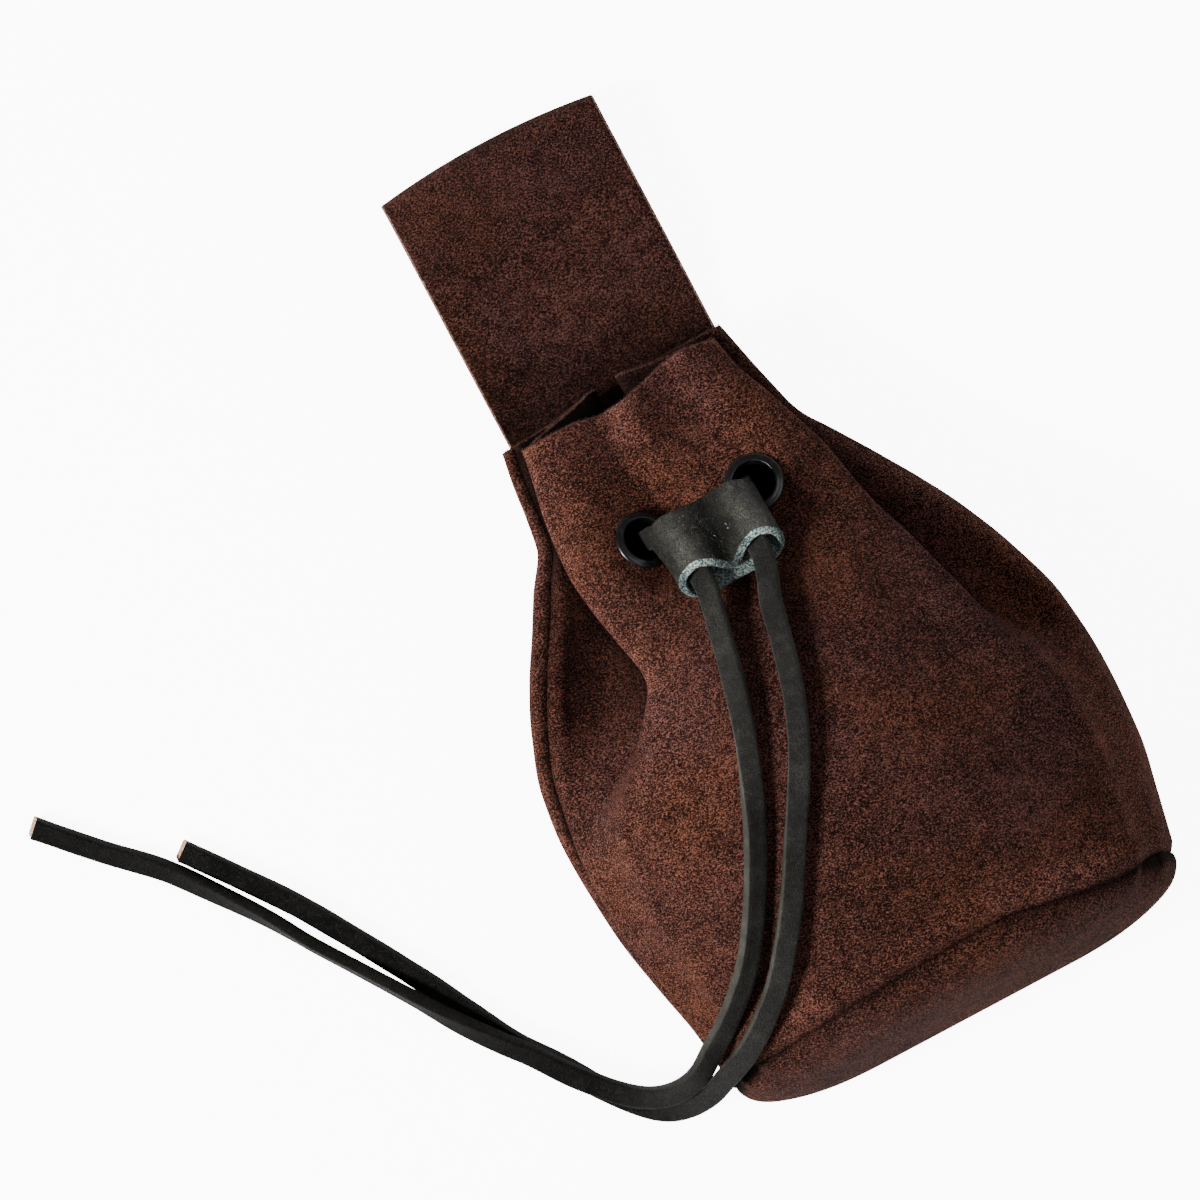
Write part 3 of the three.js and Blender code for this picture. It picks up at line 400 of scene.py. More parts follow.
def wall_mesh(name, grid, thickness, slots, closed=False, cap=None, drop=None, edge_slot=1, side_slot=1,
              swell=0.18, skive=0.0, painted_light_and_wear=None):
    """A wall of even thickness over a grid at mid wall, with rounded cut edges.

    slots: materials of the outside, the cut edges and the inside. edge_slot, side_slot: the slots that the first
    row's edge and the other edges take. cap: the point that closes the last row. drop: mask of cells left out, for
    punched holes. swell: how far a cut edge swells, as a share of the thickness. skive: how far the last row's cut
    slants back. painted_light_and_wear: painted light and shade at each point of the grid, with some wear.
    """
    normals = grid_normals(grid, closed)
    m, n = grid.shape[:2]
    slant = ease((np.arange(m) - (m - SKIVED_ROWS)) / (SKIVED_ROWS - 1))[:, None, None]
    outer = (grid + normals * thickness / 2 + unit(grid[-SKIVED_ROWS] - grid[-1]) * slant * skive).reshape(-1, 3)
    inner = (grid - normals * thickness / 2).reshape(-1, 3)
    vertices = [*outer, *inner]
    # Painted light and shade, with some wear, for each vertex of both skins and the cut edges.
    worn_grain_and_painted_light = [*(np.ones(m * n) if painted_light_and_wear is None else painted_light_and_wear.ravel())] * 2
    size = m * n
    around = [*range(n), 0] if closed else [*range(n)]
    faces, kinds = [], []

    def quad(a, b, c, d, kind):
        faces.append((a, b, c, d))
        kinds.append(kind)

    for i in range(m - 1):
        for j, k in zip(around, around[1:]):
            if drop is None or not drop[i, j]:
                a, b = i * n + j, i * n + k
                quad(a, b, b + n, a + n, 0)
                quad(size + a, size + a + n, size + b + n, size + b, 2)

    def edge(chain, here, inside, kind=side_slot):
        """Rounded cut edge along a chain of grid indices, swelling away from the points inside."""
        first = len(vertices)
        for index, push in zip(chain, swell * thickness * unit(here - inside)):
            for share in (EDGE_HEIGHT, -EDGE_HEIGHT):
                middle = (outer[index] + inner[index]) / 2
                vertices.append(middle + (outer[index] - inner[index]) * share + push * EDGE_OUT)
                worn_grain_and_painted_light.append(worn_grain_and_painted_light[index])
        lines = [first + 2 * i for i in range(len(chain))]
        rings = [chain, lines, [i + 1 for i in lines], [size + index for index in chain]]
        for low, high in zip(rings, rings[1:]):
            for i in range(len(chain) - 1):
                quad(low[i + 1], low[i], high[i], high[i + 1], kind)

    edge(around, grid[0][around], grid[1][around], edge_slot)
    last = [(m - 1) * n + i for i in around]
    if cap is None:
        back = around[::-1]
        edge(last[::-1], grid[-1][back], grid[-2][back])
    else:
        centre = len(vertices)
        cap_normal = unit(np.cross(grid[-1, n // 4] - cap, grid[-1, 0] - cap))
        cap_normal *= math.copysign(1, cap_normal @ normals[-1].mean(0))
        vertices += [cap + cap_normal * thickness / 2, cap - cap_normal * thickness / 2]
        worn_grain_and_painted_light += [1, 1]
        for a, b in zip(last, last[1:]):
            faces += [(a, b, centre), (size + a, centre + 1, size + b)]
            kinds += [0, 2]
    if not closed:
        edge([i * n for i in range(m)][::-1], grid[::-1, 0], grid[::-1, 1])
        edge([i * n + n - 1 for i in range(m)], grid[:, -1], grid[:, -2])
    return add_object(name, vertices, faces, slots, kinds, painted_light_and_wear=worn_grain_and_painted_light)


# ---- Materials ----
class Shading:
    """Adds nodes to one shader tree. A socket is fed with a constant or with another node's output."""

    def __init__(self, tree):
        self.nodes, self.links = tree.nodes, tree.links

    def node(self, kind, sockets, **settings):
        node = self.nodes.new("ShaderNode" + kind)
        for key, value in settings.items():
            setattr(node, key, value)
        for label, value in sockets.items():
            if isinstance(value, (int, float, tuple)):
                node.inputs[label].default_value = value
            else:
                self.links.new(value, node.inputs[label])
        return node

    def place(self):
        return self.node("TexCoord", {}).outputs["Object"]

    def noise(self, vector, scale, detail, roughness=0.5, distortion=0):
        sockets = {"Detail": detail, "Roughness": roughness, "Distortion": distortion, "Scale": scale, "Vector": vector}
        return self.node("TexNoise", sockets).outputs["Fac"]

    def math(self, operation, a, b):
        return self.node("Math", {0: a, 1: b}, operation=operation).outputs["Value"]

    def add(self, a, b):
        return self.math("ADD", a, b)

    def times(self, a, b):
        return self.math("MULTIPLY", a, b)

    def mix(self, factor, a, b, blend="MIX"):
        """Mixed colours. The colour sockets of a Mix node are its inputs 6 and 7 and its output 2."""
        return self.node("Mix", {0: factor, 6: a, 7: b}, data_type="RGBA", blend_type=blend).outputs[2]

    def ramp(self, factor, *stops):
        """Steps of grey over a factor, as (place, value) pairs."""
        node = self.node("ValToRGB", {"Fac": factor})
        ends = node.color_ramp.elements
        ends[0].position, ends[1].position = stops[0][0], stops[-1][0]
        for element, (_, value) in zip(ends, (stops[0], stops[-1])):
            element.color = (value, value, value, 1)
        for place, value in stops[1:-1]:
            ends.new(place).color = (value, value, value, 1)
        return node.outputs["Color"]

    def bump(self, shader, height, distance, strength):
        node = self.node("Bump", {"Distance": distance, "Strength": strength, "Height": height})
        self.links.new(node.outputs["Normal"], shader.inputs["Normal"])


def new_group(name, inputs):
    """A shader node group with these inputs, and with colour, height and roughness as its outputs."""
    group = bpy.data.node_groups.new(name, "ShaderNodeTree")
    kinds = {4: "NodeSocketColor", 3: "NodeSocketVector"}
    for label, value in inputs.items():
        kind = kinds[len(value)] if isinstance(value, tuple) else "NodeSocketFloat"
        group.interface.new_socket(name=label, in_out="INPUT", socket_type=kind).default_value = value
    for label, kind in (("Color", kinds[4]), ("Height", "NodeSocketFloat"), ("Roughness", "NodeSocketFloat")):
        group.interface.new_socket(name=label, in_out="OUTPUT", socket_type=kind)
    inside = group.nodes.new("NodeGroupInput").outputs
    out = group.nodes.new("NodeGroupOutput").inputs
    return group, Shading(group), inside, out


def nap_group():
    """Suede nap: short tufts brushed one way, brushed patches and a slow drift of hue, with the pile's height."""
    group, s, inside, out = new_group("suede_nap", {
        "Vector": (0, 0, 0),
        "Dark": (0.02, 0.008, 0.006, 1),
        "Mid": (0.06, 0.02, 0.014, 1),
        "Light": (0.16, 0.06, 0.04, 1),
        "Tuft Scale": 1500,
        "Patchiness": 0.2,
    })
    vector, scale = inside["Vector"], inside["Tuft Scale"]
    sockets = {"Rotation": (0, 0, math.radians(25)), "Scale": (0.8, 1.1, 1), "Vector": vector}
    brushed = s.node("Mapping", sockets).outputs["Vector"]
    tuft = s.noise(brushed, scale, 1.5, 0.6, 0.2)
    fibre = s.noise(brushed, s.times(scale, 2.1), 1, 0.5, 0.6)
    patch = s.noise(vector, 260, 2, 0.5, 0.4)
    broad = s.noise(vector, 45, 2, 0.5, 0.3)
    pile = s.add(s.times(tuft, 0.55), s.times(fibre, 0.45))
    shade = s.add(s.times(patch, 0.55), s.times(broad, 0.45))
    tone = s.add(pile, s.times(s.math("SUBTRACT", shade, 0.5), inside["Patchiness"]))
    color = s.mix(s.ramp(tone, (0.43, 0), (0.505, 1)), inside["Dark"], inside["Mid"])
    color = s.mix(s.ramp(tone, (0.505, 0), (0.59, 1)), color, inside["Light"])
    hue = s.ramp(s.noise(vector, 28, 1, 0.5, 0.5), (0.35, 0), (0.65, 1))
    warm = s.mix(hue, (0.96, 1, 1.12, 1), (1.04, 1, 0.88, 1))
    s.links.new(s.mix(1, color, warm, "MULTIPLY"), out["Color"])
    s.links.new(pile, out["Height"])
    s.links.new(s.add(s.times(patch, 0.1), 0.86), out["Roughness"])
    return group


def grain_group():
    """Smooth leather: fine pebble, stretch creases and a slight change of tone."""
    group, s, inside, out = new_group("leather_grain", {
        "Vector": (0, 0, 0),
        "Color": (0.03, 0.03, 0.028, 1),
        "Worn": (0.09, 0.085, 0.075, 1),
        "Pebble Scale": 1500,
        "Crease Scale": 420,
        "Crease Depth": 0.5,
        "Smoothness": 0.42,
    })
    vector = inside["Vector"]
    cells = s.node("TexVoronoi", {"Vector": vector, "Scale": inside["Pebble Scale"]}, feature="DISTANCE_TO_EDGE")
    pebble = s.ramp(cells.outputs["Distance"], (0, 0), (0.22, 1))
    crease = s.noise(vector, inside["Crease Scale"], 3, 0.6, 1.6)
    fold = s.ramp(crease, (0.4, 1), (0.47, 0), (0.53, 1))
    fold = s.math("SUBTRACT", 1, s.times(s.math("SUBTRACT", 1, fold), inside["Crease Depth"]))
    tone = s.noise(vector, 120, 3, 0.6)
    worn_grain_and_painted_light = s.times(s.ramp(tone, (0.42, 0), (0.75, 1)), pebble)
    s.links.new(s.mix(worn_grain_and_painted_light, inside["Color"], inside["Worn"]), out["Color"])
    s.links.new(s.add(s.times(pebble, 0.35), fold), out["Height"])
    s.links.new(s.add(inside["Smoothness"], s.times(tone, 0.25)), out["Roughness"])
    return group


NAP = nap_group()
GRAIN = grain_group()


def new_material(name):
    material = bpy.data.materials.new(name)
    material.use_nodes = True
    s = Shading(material.node_tree)
    return material, s, s.nodes["Principled BSDF"]


def darkened_along(s, color, place, axis, start, end, share):
    """A colour that turns darker along an axis of the object: a share of itself at start, itself at end."""
    along = s.node("SeparateXYZ", {"Vector": place}).outputs[axis]
    uneven = s.times(s.noise(place, 90, 3, 0.6), 0.016)
    reach = s.add(s.math("SUBTRACT", along, 0.008), uneven)
    sockets = {"From Min": start, "From Max": end, "To Min": share, "To Max": 1, "Value": reach}
    level = s.node("MapRange", sockets, interpolation_type="SMOOTHSTEP")
    return s.mix(level.outputs["Result"], (0, 0, 0, 1), color)


def covered(name, group, values, depth, strength, axis, darkening):
    """A material covered by a shared effect, its colour scaled by the mesh's painted light and shade (with some wear)
    and darkened along an axis.
    """
    material, s, shader = new_material(name)
    place = s.place()
    cover = s.node("Group", {"Vector": place, **values}, node_tree=group).outputs
    # The mesh's attribute scales the colour: painted light above 1, painted shade below 1, partly wear.
    painted_light_and_wear = s.node("Attribute", {}, attribute_name="painted_light_and_wear").outputs["Fac"]
    color = s.mix(1, cover["Color"], painted_light_and_wear, "MULTIPLY")
    if darkening is not None:
        color = darkened_along(s, color, place, axis, *darkening)
    s.links.new(color, shader.inputs["Base Color"])
    s.links.new(cover["Roughness"], shader.inputs["Roughness"])
    s.bump(shader, cover["Height"], depth, strength)
    return material, shader


def suede_material(name, dark, mid, light, tuft=2700, patchiness=0.17, depth=0.001, sheen=0.02, darkening=None):
    values = {"Dark": (*dark, 1), "Mid": (*mid, 1), "Light": (*light, 1), "Tuft Scale": tuft, "Patchiness": patchiness}
    material, shader = covered(name, NAP, values, depth, 1, "Y", darkening)
    shader.inputs["Specular IOR Level"].default_value = 0.06
    shader.inputs["Sheen Weight"].default_value = sheen
    shader.inputs["Sheen Roughness"].default_value = 0.5
    shader.inputs["Sheen Tint"].default_value = (0.55, 0.25, 0.17, 1)
    return material


def leather_material(name, color, worn_grain_and_painted_light, pebble, crease, crease_depth, depth, specular, shine=0.42, darkening=None):
    values = {"Color": (*color, 1), "Worn": (*worn_grain_and_painted_light, 1), "Pebble Scale": pebble,
              "Crease Scale": crease, "Crease Depth": crease_depth, "Smoothness": shine}
    material, shader = covered(name, GRAIN, values, depth, 0.8, "X", darkening)
    shader.inputs["Specular IOR Level"].default_value = specular
    return material


SUEDE = suede_material("suede", (0.0042, 0.0018, 0.0016), (0.0372, 0.0131, 0.0099), (0.226, 0.089, 0.064))
SUEDE_INSIDE = suede_material("suede_inside", (0.006, 0.0026, 0.002), (0.036, 0.013, 0.0098), (0.13, 0.052, 0.038))
SUEDE_EDGE = suede_material("suede_cut_edge", (0.02, 0.008, 0.0065), (0.1, 0.041, 0.032), (0.3, 0.145, 0.112), 2400)
# The strap darkens below about Y = 116 mm towards the mouth: painted shadow that the pouch's mouth casts on it.
STRAP_SUEDE = suede_material(
    "strap_suede", (0.0055, 0.0024, 0.0021), (0.035, 0.0127, 0.0102), (0.152, 0.062, 0.047), 2500, 0.2,
    darkening=(0.085, 0.108, 0.36),
)
STRAP_EDGE = suede_material("strap_cut_edge", (0.1, 0.05, 0.042), (0.27, 0.15, 0.13), (0.5, 0.33, 0.29), 2400)
RIM_FIBRE = suede_material("suede_rim_fibre", (0.05, 0.021, 0.017), (0.2, 0.088, 0.07), (0.46, 0.25, 0.2), 3200, 0.12)
SLIDE_LEATHER = leather_material(
    "slide_leather", (0.0222, 0.023, 0.0205), (0.076, 0.076, 0.06), 2100, 420, 0.9, 0.0005, 0.2, 0.2,
)
SLIDE_EDGE = suede_material(
    "slide_cut_edge", (0.03, 0.045, 0.05), (0.13, 0.185, 0.195), (0.33, 0.41, 0.42), 2200, 0.3, 0.0006, 0,
)
# Both lace materials turn darker towards the free ends' tips, at -X past about X = -22 mm.
LACE_FACE = leather_material(
    "lace_face", (0.0192, 0.019, 0.0178), (0.058, 0.057, 0.051), 1900, 600, 0.7, 0.0004, 0.08,
    darkening=(-0.07, -0.03, 0.2),
)
LACE_SIDE = leather_material(
    "lace_side", (0.045, 0.0445, 0.038), (0.12, 0.117, 0.097), 2200, 700, 0.6, 0.0003, 0.06,
    darkening=(-0.07, -0.03, 0.14),
)
LACE_END = suede_material(
    "lace_cut_end", (0.3, 0.15, 0.09), (0.55, 0.32, 0.21), (0.7, 0.47, 0.35), 1600, 0.3, 0.0003, 0,
)


def enamel_material():
    """Black enamel, scuffed to a duller and lighter skin."""
    material, s, shader = new_material("eyelet_enamel")
    scuff = s.noise(s.place(), 700, 4, 0.6)
    s.links.new(s.ramp(scuff, (0.35, 0.24), (0.75, 0.5)), shader.inputs["Roughness"])
    color = s.mix(s.ramp(scuff, (0.55, 0), (0.8, 1)), (0.004, 0.004, 0.0045, 1), (0.03, 0.03, 0.032, 1))
    s.links.new(color, shader.inputs["Base Color"])
    shader.inputs["Metallic"].default_value = 0.2
    shader.inputs["Coat Weight"].default_value = 0.25
    shader.inputs["Coat Roughness"].default_value = 0.12
    s.bump(shader, scuff, 0.00004, 0.5)
    return material


ENAMEL = enamel_material()


# ---- Lace ----
# The lace's eased corner, how far its sides bulge and its face dips, and how much its cut end slants.
LACE_CORNER, LACE_BULGE, LACE_DIP, LACE_SLANT = 0.42, 0.03, 0.05, 0.55
LACE_ABOVE_FLOOR = 0.15


def lace_frames(route, step, sides, rolls):
    """Points, width directions, face directions and lengths along a route, in millimetres."""
    fine = line_through(route, 40)
    length = run_up(fine)
    want = np.linspace(0, length[-1], int(length[-1] / step) + 1)
    places = np.interp(want, length, np.linspace(0, len(route) - 1, len(fine)))
    points = spline(route, False, places)
    tangents = unit(np.gradient(points, axis=0))
    if sides is None:
        width = np.cross([0, 0, 1], tangents)
    else:
        angle = np.radians(np.interp(places, np.arange(len(sides)), sides))
        width = np.stack([np.cos(angle), np.sin(angle), np.zeros_like(angle)], axis=1)
        width -= tangents * (width * tangents).sum(1, keepdims=True)
    width = unit(width)
    face = np.cross(tangents, width)
    if rolls is not None:
        turn = np.radians(np.interp(want / want[-1], [r[0] for r in rolls], [r[1] for r in rolls]))[:, None]
        width, face = width * np.cos(turn) + face * np.sin(turn), face * np.cos(turn) - width * np.sin(turn)
        reach = (LACE_WIDTH * np.abs(np.sin(turn)) + LACE_THICK * np.abs(np.cos(turn)))[:, 0] / 2
        points[:, 2] = np.maximum(points[:, 2], reach + LACE_ABOVE_FLOOR)
    return points, width, face, want


def lace_mesh(name, route, step=0.9, sides=None, rolls=None, seed=0):
    """A flat leather lace: faces with grain, sides where it was cut, and bare ends."""
    points, width, face, run = lace_frames(route, step, sides, rolls)
    w, h, c = LACE_WIDTH / 2, LACE_THICK / 2, LACE_CORNER
    eased = [(w - 0.45 * c, h - 0.3 * c), (w - 1.2 * c, h)]
    right = [(w, -h + c), (w + LACE_BULGE, 0), (w, h - c), *eased, (w * 0.4, h - LACE_DIP)]
    under = [(-a, -b) for a, b in eased] + [(a, -b) for a, b in reversed(eased)]
    corners = [*right, *[(-a, b) for a, b in reversed(right)], *under]
    side_of = [1, 1, 1, 0, 0, 0, 0, 0, 1, 1, 1, 1, 0, 0, 0, 1]
    wobble = 0.05 * np.sin(run / 7.3 + seed) + 0.04 * np.sin(run / 3.1 + 2 * seed)
    thinner = 1 - 0.02 * np.sin(run / 5.7 + seed)
    cut = unit(np.gradient(points, axis=0))
    vertices = []
    for i, p in enumerate(points):
        for a, b in corners:
            if i == len(points) - 1:
                p = points[i] - cut[i] * LACE_SLANT * (b + h)
            vertices.append(p + width[i] * (a + math.copysign(wobble[i], a)) + face[i] * b * thinner[i])
    n = len(corners)
    faces, kinds = [], []
    for i in range(len(points) - 1):
        for j in range(n):
            a, b = i * n + j, i * n + (j + 1) % n
            faces.append((a, b, b + n, a + n))
            kinds.append(side_of[j])
    last = (len(points) - 1) * n
    faces += [tuple(range(n - 1, -1, -1)), tuple(range(last, last + n))]
    kinds += [2, 2]
    return add_object(name, vertices, faces, [LACE_FACE, LACE_SIDE, LACE_END], kinds, 50)


def free_lace(name, node, route, rolls, seed):
    piece = lace_mesh(name, route, rolls=rolls, seed=seed)
    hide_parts(node)


# How far each free end rolls over, in degrees at shares of its length.
LEFT_ROLLS = [
    (0, 16), (0.08, 20), (0.12, 12), (0.15, -4), (0.2, -26), (0.3, -34), (0.43, -30), (0.5, -16), (0.56, -20),
    (0.62, -42), (0.68, -74), (0.78, -80), (0.85, -52), (0.93, -27), (1, -24),
]
RIGHT_ROLLS = [
    (0, 10), (0.1, 12), (0.18, 4), (0.26, -12), (0.4, -16), (0.5, -8), (0.56, -16), (0.65, -26), (0.8, -28), (1, -18),
]

free_lace("long_lace_end", "lace_left", LEFT_ROUTE, LEFT_ROLLS, seed=1.0)
free_lace("short_lace_end", "lace_right", RIGHT_ROUTE, RIGHT_ROLLS, seed=2.6)
neck = lace_mesh("neck_lace", [p[:3] for p in NECK_ROUTE], step=0.6, sides=[p[3] for p in NECK_ROUTE])
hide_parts("lace_neck")


# ---- Body panels ----
def even_places(start, end, step, edges=()):
    """Places in knots from one seam to the other, about step millimetres apart and closer near the edges named."""
    fine = np.linspace(start, end, 60 * (end - start) + 1)
    length = np.mean([run_up(spline(section_knots(along), True, fine)) for along in (0, 0.25, 0.4, 0.6, 1)], axis=0)
    total = length[-1]
    want = np.linspace(0, total, int(total / step))
    close = np.arange(0, 4.2, 0.42)
    if "first" in edges:
        want = np.concatenate([close, want[want > close[-1] + step / 2]])
    if "last" in edges:
        want = np.concatenate([want[want < total - close[-1] - step / 2], total - close[::-1]])
    return np.interp(want, length, fine)


# Rows of the panels, as shares of their length, and the distance between their columns.
PANEL_ALONG = np.concatenate([np.linspace(0, 0.93, 120)[:-1], np.linspace(0.93, 1, 24)])
PANEL_STEP = 1.05


def panel_grid(start, end, edges):
    """Mid surface of a panel, its long edges half a seam gap short of the seams."""
    places = even_places(start, end, PANEL_STEP, edges)
    near = 0.05
    grid = []
    for along in PANEL_ALONG:
        p = spline(section_knots(along), True, [start, start + near, end - near, end])
        here = places.copy()
        here[0] = start + near * (SEAM_GAP / 2) / np.linalg.norm(p[1] - p[0])
        here[-1] = end - near * (SEAM_GAP / 2) / np.linalg.norm(p[3] - p[2])
        here[1:-1] = np.clip(here[1:-1], here[0] + 1e-3, here[-1] - 1e-3)
        grid.append(body_points(here, along))
    return places, np.array(grid)


def edge_distances(grid):
    """Distance of each point of a grid from its first and last column, its rim row and its base row."""
    return {
        "first": run_up(grid, 1),
        "last": run_up(grid[:, ::-1], 1)[:, ::-1],
        "rim": run_up(grid),
        "base": run_up(grid[::-1])[::-1],
    }


def turned_in(grid, distance, depth, reach, lip=0.0, closed=False):
    """The panel swells by lip beside an edge and turns in by depth at the edge itself."""
    near = np.clip(1 - distance / reach, 0, 1)
    swollen = lip * bell(distance - reach, 0.6 * reach)
    moved = grid + grid_normals(grid, closed) * (swollen - depth * near**1.6)[:, :, None]
    moved[:, :, 2] = np.maximum(moved[:, :, 2], LEATHER / 2)
    return moved


def seam_soil_and_shade(distance, reach, depth=0.85):
    """Share of the colour left beside a seam: painted shade in its groove, with some soil."""
    return 1 - depth * bell(distance, reach)


# How far the front's lower lip hangs past the seam, in millimetres at places across the front.
LIP_X = (-60, -45, -20, 0, 22, 30, 40, 50, 60)
LIP_HANG = (1.0, 2.4, 2.4, 1.8, 0.9, 2.2, 3.2, 3.6, 2.6)

# The holes that the lace takes through the gussets, behind the eyelets: radius, shift to the middle, lowest height.
GUSSET_HOLE_R, GUSSET_HOLE_SHIFT, GUSSET_HOLE_Z = 3.6, 1.1, 9


def punch(grid, places):
    """Cells of the front panel that the eyelets' and the lace's holes take away."""
    middle = (grid[:-1, :-1] + grid[1:, 1:]) / 2
    place = (places[:-1] + places[1:]) / 2
    on_front = (place > RIDGE_RIGHT) & (place < RIDGE_LEFT)
    holes = np.zeros(middle.shape[:2], dtype=bool)
    for _, centre, lean, turn in EYELETS:
        _, radius = from_axis(middle, centre, eyelet_axis(lean, turn))
        holes |= (radius < EYELET_HOLE_R + EYELET_WALL) & on_front[None, :]
        shift = math.copysign(GUSSET_HOLE_SHIFT, centre[0])
        flat = np.hypot(middle[:, :, 0] - centre[0] + shift, middle[:, :, 1] - centre[1])
        holes |= (flat < GUSSET_HOLE_R) & ~on_front[None, :] & (middle[:, :, 2] > GUSSET_HOLE_Z)
    return holes


# Spots of painted light (over 0) and painted shade (under 0): x, y, reach across, reach along, strength.
FRONT_SPOTS = [
    (-1, 76, 3.4, 10, 0.4), (-9, 80, 3.6, 9, -0.22), (7, 80, 3, 8, -0.2), (21, 70, 8, 11, 0.46),
    (-17, 70, 7, 12, 0.34), (-20, 22, 9, 16, 0.22), (12, 30, 8, 16, -0.3), (-30, -2, 14, 16, 0.26),
    (40, -30, 18, 16, -0.16), (4, -30, 20, 24, -0.12),
]
LEFT_SPOTS = [(-46, -4, 12, 18, 0.25), (-46, 26, 6, 14, 0.22), (-29, 30, 6, 9, -0.2)]
RIGHT_SPOTS = [(50, 40, 8, 20, 0.25)]


def front_painted_light_and_shade(grid, places, d):
    """Painted light on the ridges, ruffle crests and rim, and painted shade in the folds, hollows and seams, on the
    front and its gussets.
    """
    x, y = grid[:, :, 0], grid[:, :, 1]

    def spotted(painted_light_and_wear, spots):
        for cx, cy, rx, ry, strength in spots:
            painted_light_and_wear = painted_light_and_wear + strength * np.exp(-(((x - cx) / rx) ** 2) - ((y - cy) / ry) ** 2)
        return painted_light_and_wear

    column = lambda knot: int(np.argmin(np.abs(places - knot)))
    left, right = x[:, [column(RIDGE_LEFT)]], x[:, [column(RIDGE_RIGHT)]]
    past_left, past_right = np.maximum(left - x, 0), np.maximum(x - right, 0)
    upper, low_left, low_right = ease((y + 2) / 30), ease((y - 8) / 26), ease((y + 14) / 24)
    # Painted highlights along both ridges, and painted light and shade at the front's spots.
    front = spotted(1 + 0.5 * bell(x - left, 2.2) * low_left + 0.2 * bell(x - right, 2) * upper, FRONT_SPOTS)
    # A painted highlight on the lip above the base seam, stronger on the right.
    front = front + bell(d["base"] - 4.2, 2.4) * (0.2 + 0.5 * bell(x - 36, 16))
    # Painted shade in the hollows beside each ridge, where the ridge shadows the gusset.
    gusset_left = 1 - (0.6 * np.exp(-past_left / 2.6) + 0.36 * np.exp(-past_left / 9)) * low_left
    gusset_right = 1.3 - 1.05 * np.exp(-past_right / 2.6) * low_right
    painted_light_and_wear = np.where(((places > RIDGE_RIGHT - 0.5) & (places < RIDGE_LEFT + 0.5))[None], front, 1.0)
    painted_light_and_wear = np.where((places > RIDGE_LEFT + 1)[None], spotted(gusset_left, LEFT_SPOTS), painted_light_and_wear)
    painted_light_and_wear = np.where((places < RIDGE_RIGHT - 1)[None], spotted(gusset_right, RIGHT_SPOTS), painted_light_and_wear)
    # A painted highlight along the rim.
    painted_light_and_wear = painted_light_and_wear * (1 + 0.5 * bell(d["rim"], 1.1))
    # Painted shade in the side seams' grooves and along the base seam.
    return painted_light_and_wear * seam_soil_and_shade(np.minimum(d["first"], d["last"]), 1.7, 0.93) * seam_soil_and_shade(d["base"], 0.6, 0.8)


PANEL_SLOTS = [SUEDE, SUEDE_EDGE, SUEDE_INSIDE]


def lip_hang(grid):
    return np.interp(grid[:, :, 0], LIP_X, LIP_HANG)


def looser(grid):
    """The right half of the base seam, where the front hangs looser."""
    return ease((grid[:, :, 0] - 12) / 18)


def front_panel():
    places, grid = panel_grid(SEAM_RIGHT, SEAM_LEFT, ("first", "last"))
    d = edge_distances(grid)
    on_top = ease((grid[:, :, 2] - 24) / 16)
    grid[:, :, 1] -= lip_hang(grid) * ease(1 - d["base"] / 16) * on_top
    loose = looser(grid) * on_top
    grid = turned_in(grid, np.minimum(d["first"], d["last"]), depth=2.5, reach=3.4, lip=0.4)
    grid = turned_in(grid, d["base"], depth=1.5 - 1.3 * loose, reach=3.0, lip=0.8 * on_top)
    front = wall_mesh("front_wrap", grid, LEATHER, PANEL_SLOTS, drop=punch(grid, places), side_slot=0,
                      painted_light_and_wear=front_painted_light_and_shade(grid, places, d))
    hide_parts("front_panel")
    return grid


def back_panel():
    _, grid = panel_grid(SEAM_LEFT, SEAM_RIGHT + KNOTS, ("first",))
    d = edge_distances(grid)
    grid = turned_in(grid, d["first"], depth=1.3, reach=2.4, lip=0.35)
    # A painted highlight on the turned-in lip beside the seam, and painted shade in that seam and at the base seam.
    painted_light_and_wear = (1 + 0.25 * bell(d["first"] - 2.2, 1.2)) * seam_soil_and_shade(d["first"], 0.9, 0.9) * seam_soil_and_shade(d["base"], 1.0)
    back = wall_mesh("back_wall", grid, LEATHER, PANEL_SLOTS, side_slot=0, painted_light_and_wear=painted_light_and_wear)
    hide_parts("back_panel")
    return grid


def base_panel():
    rim = body_points(even_places(0, KNOTS, 1.0)[:-1], 1.0)
    centre = rim.mean(axis=0)
    y_at = lambda z: RIM_Y - BODY_LENGTH + BASE_OVERHANG * z / BODY_DEPTH - SEAM_GAP
    grid = []
    for angle in np.radians(np.concatenate([np.linspace(0, 16, 11), np.linspace(18, 86, 34)])):
        share = math.cos(angle) ** 0.4
        x = centre[0] + (rim[:, 0] - centre[0]) * share
        z = np.maximum(centre[2] + (rim[:, 2] - centre[2]) * share, LEATHER / 2)
        grid.append(np.stack([x, y_at(z) - BASE_BULGE * math.sin(angle), z], axis=1))
    grid = np.array(grid)
    d = edge_distances(grid)["rim"]
    upward = np.clip(grid_normals(grid, True)[:, :, 2], 0, 1)
    loose = looser(grid) * (1 - 0.85 * ease((grid[:, :, 0] - 46) / 12))
    grid = turned_in(grid, d, depth=0.7 + (2.0 + 2.0 * loose) * upward, reach=7.5, closed=True)
    past_lip = np.maximum(d - lip_hang(grid) * ease(upward / 0.6), 0)
    cap = np.array([centre[0], y_at(centre[2]) - BASE_BULGE, centre[2]])
    # Painted shadow under the front's hanging lip, darker on its loose right half, and a faint broad painted shade past
    # it.
    base = wall_mesh("base_oval", grid, LEATHER, PANEL_SLOTS, closed=True, cap=cap, edge_slot=0,
                     painted_light_and_wear=seam_soil_and_shade(past_lip, 1.2 + 1.3 * loose * upward, 0.9) * seam_soil_and_shade(past_lip, 5, 0.22))
    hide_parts("base_panel")


FIBRE_WIDTH = 0.15


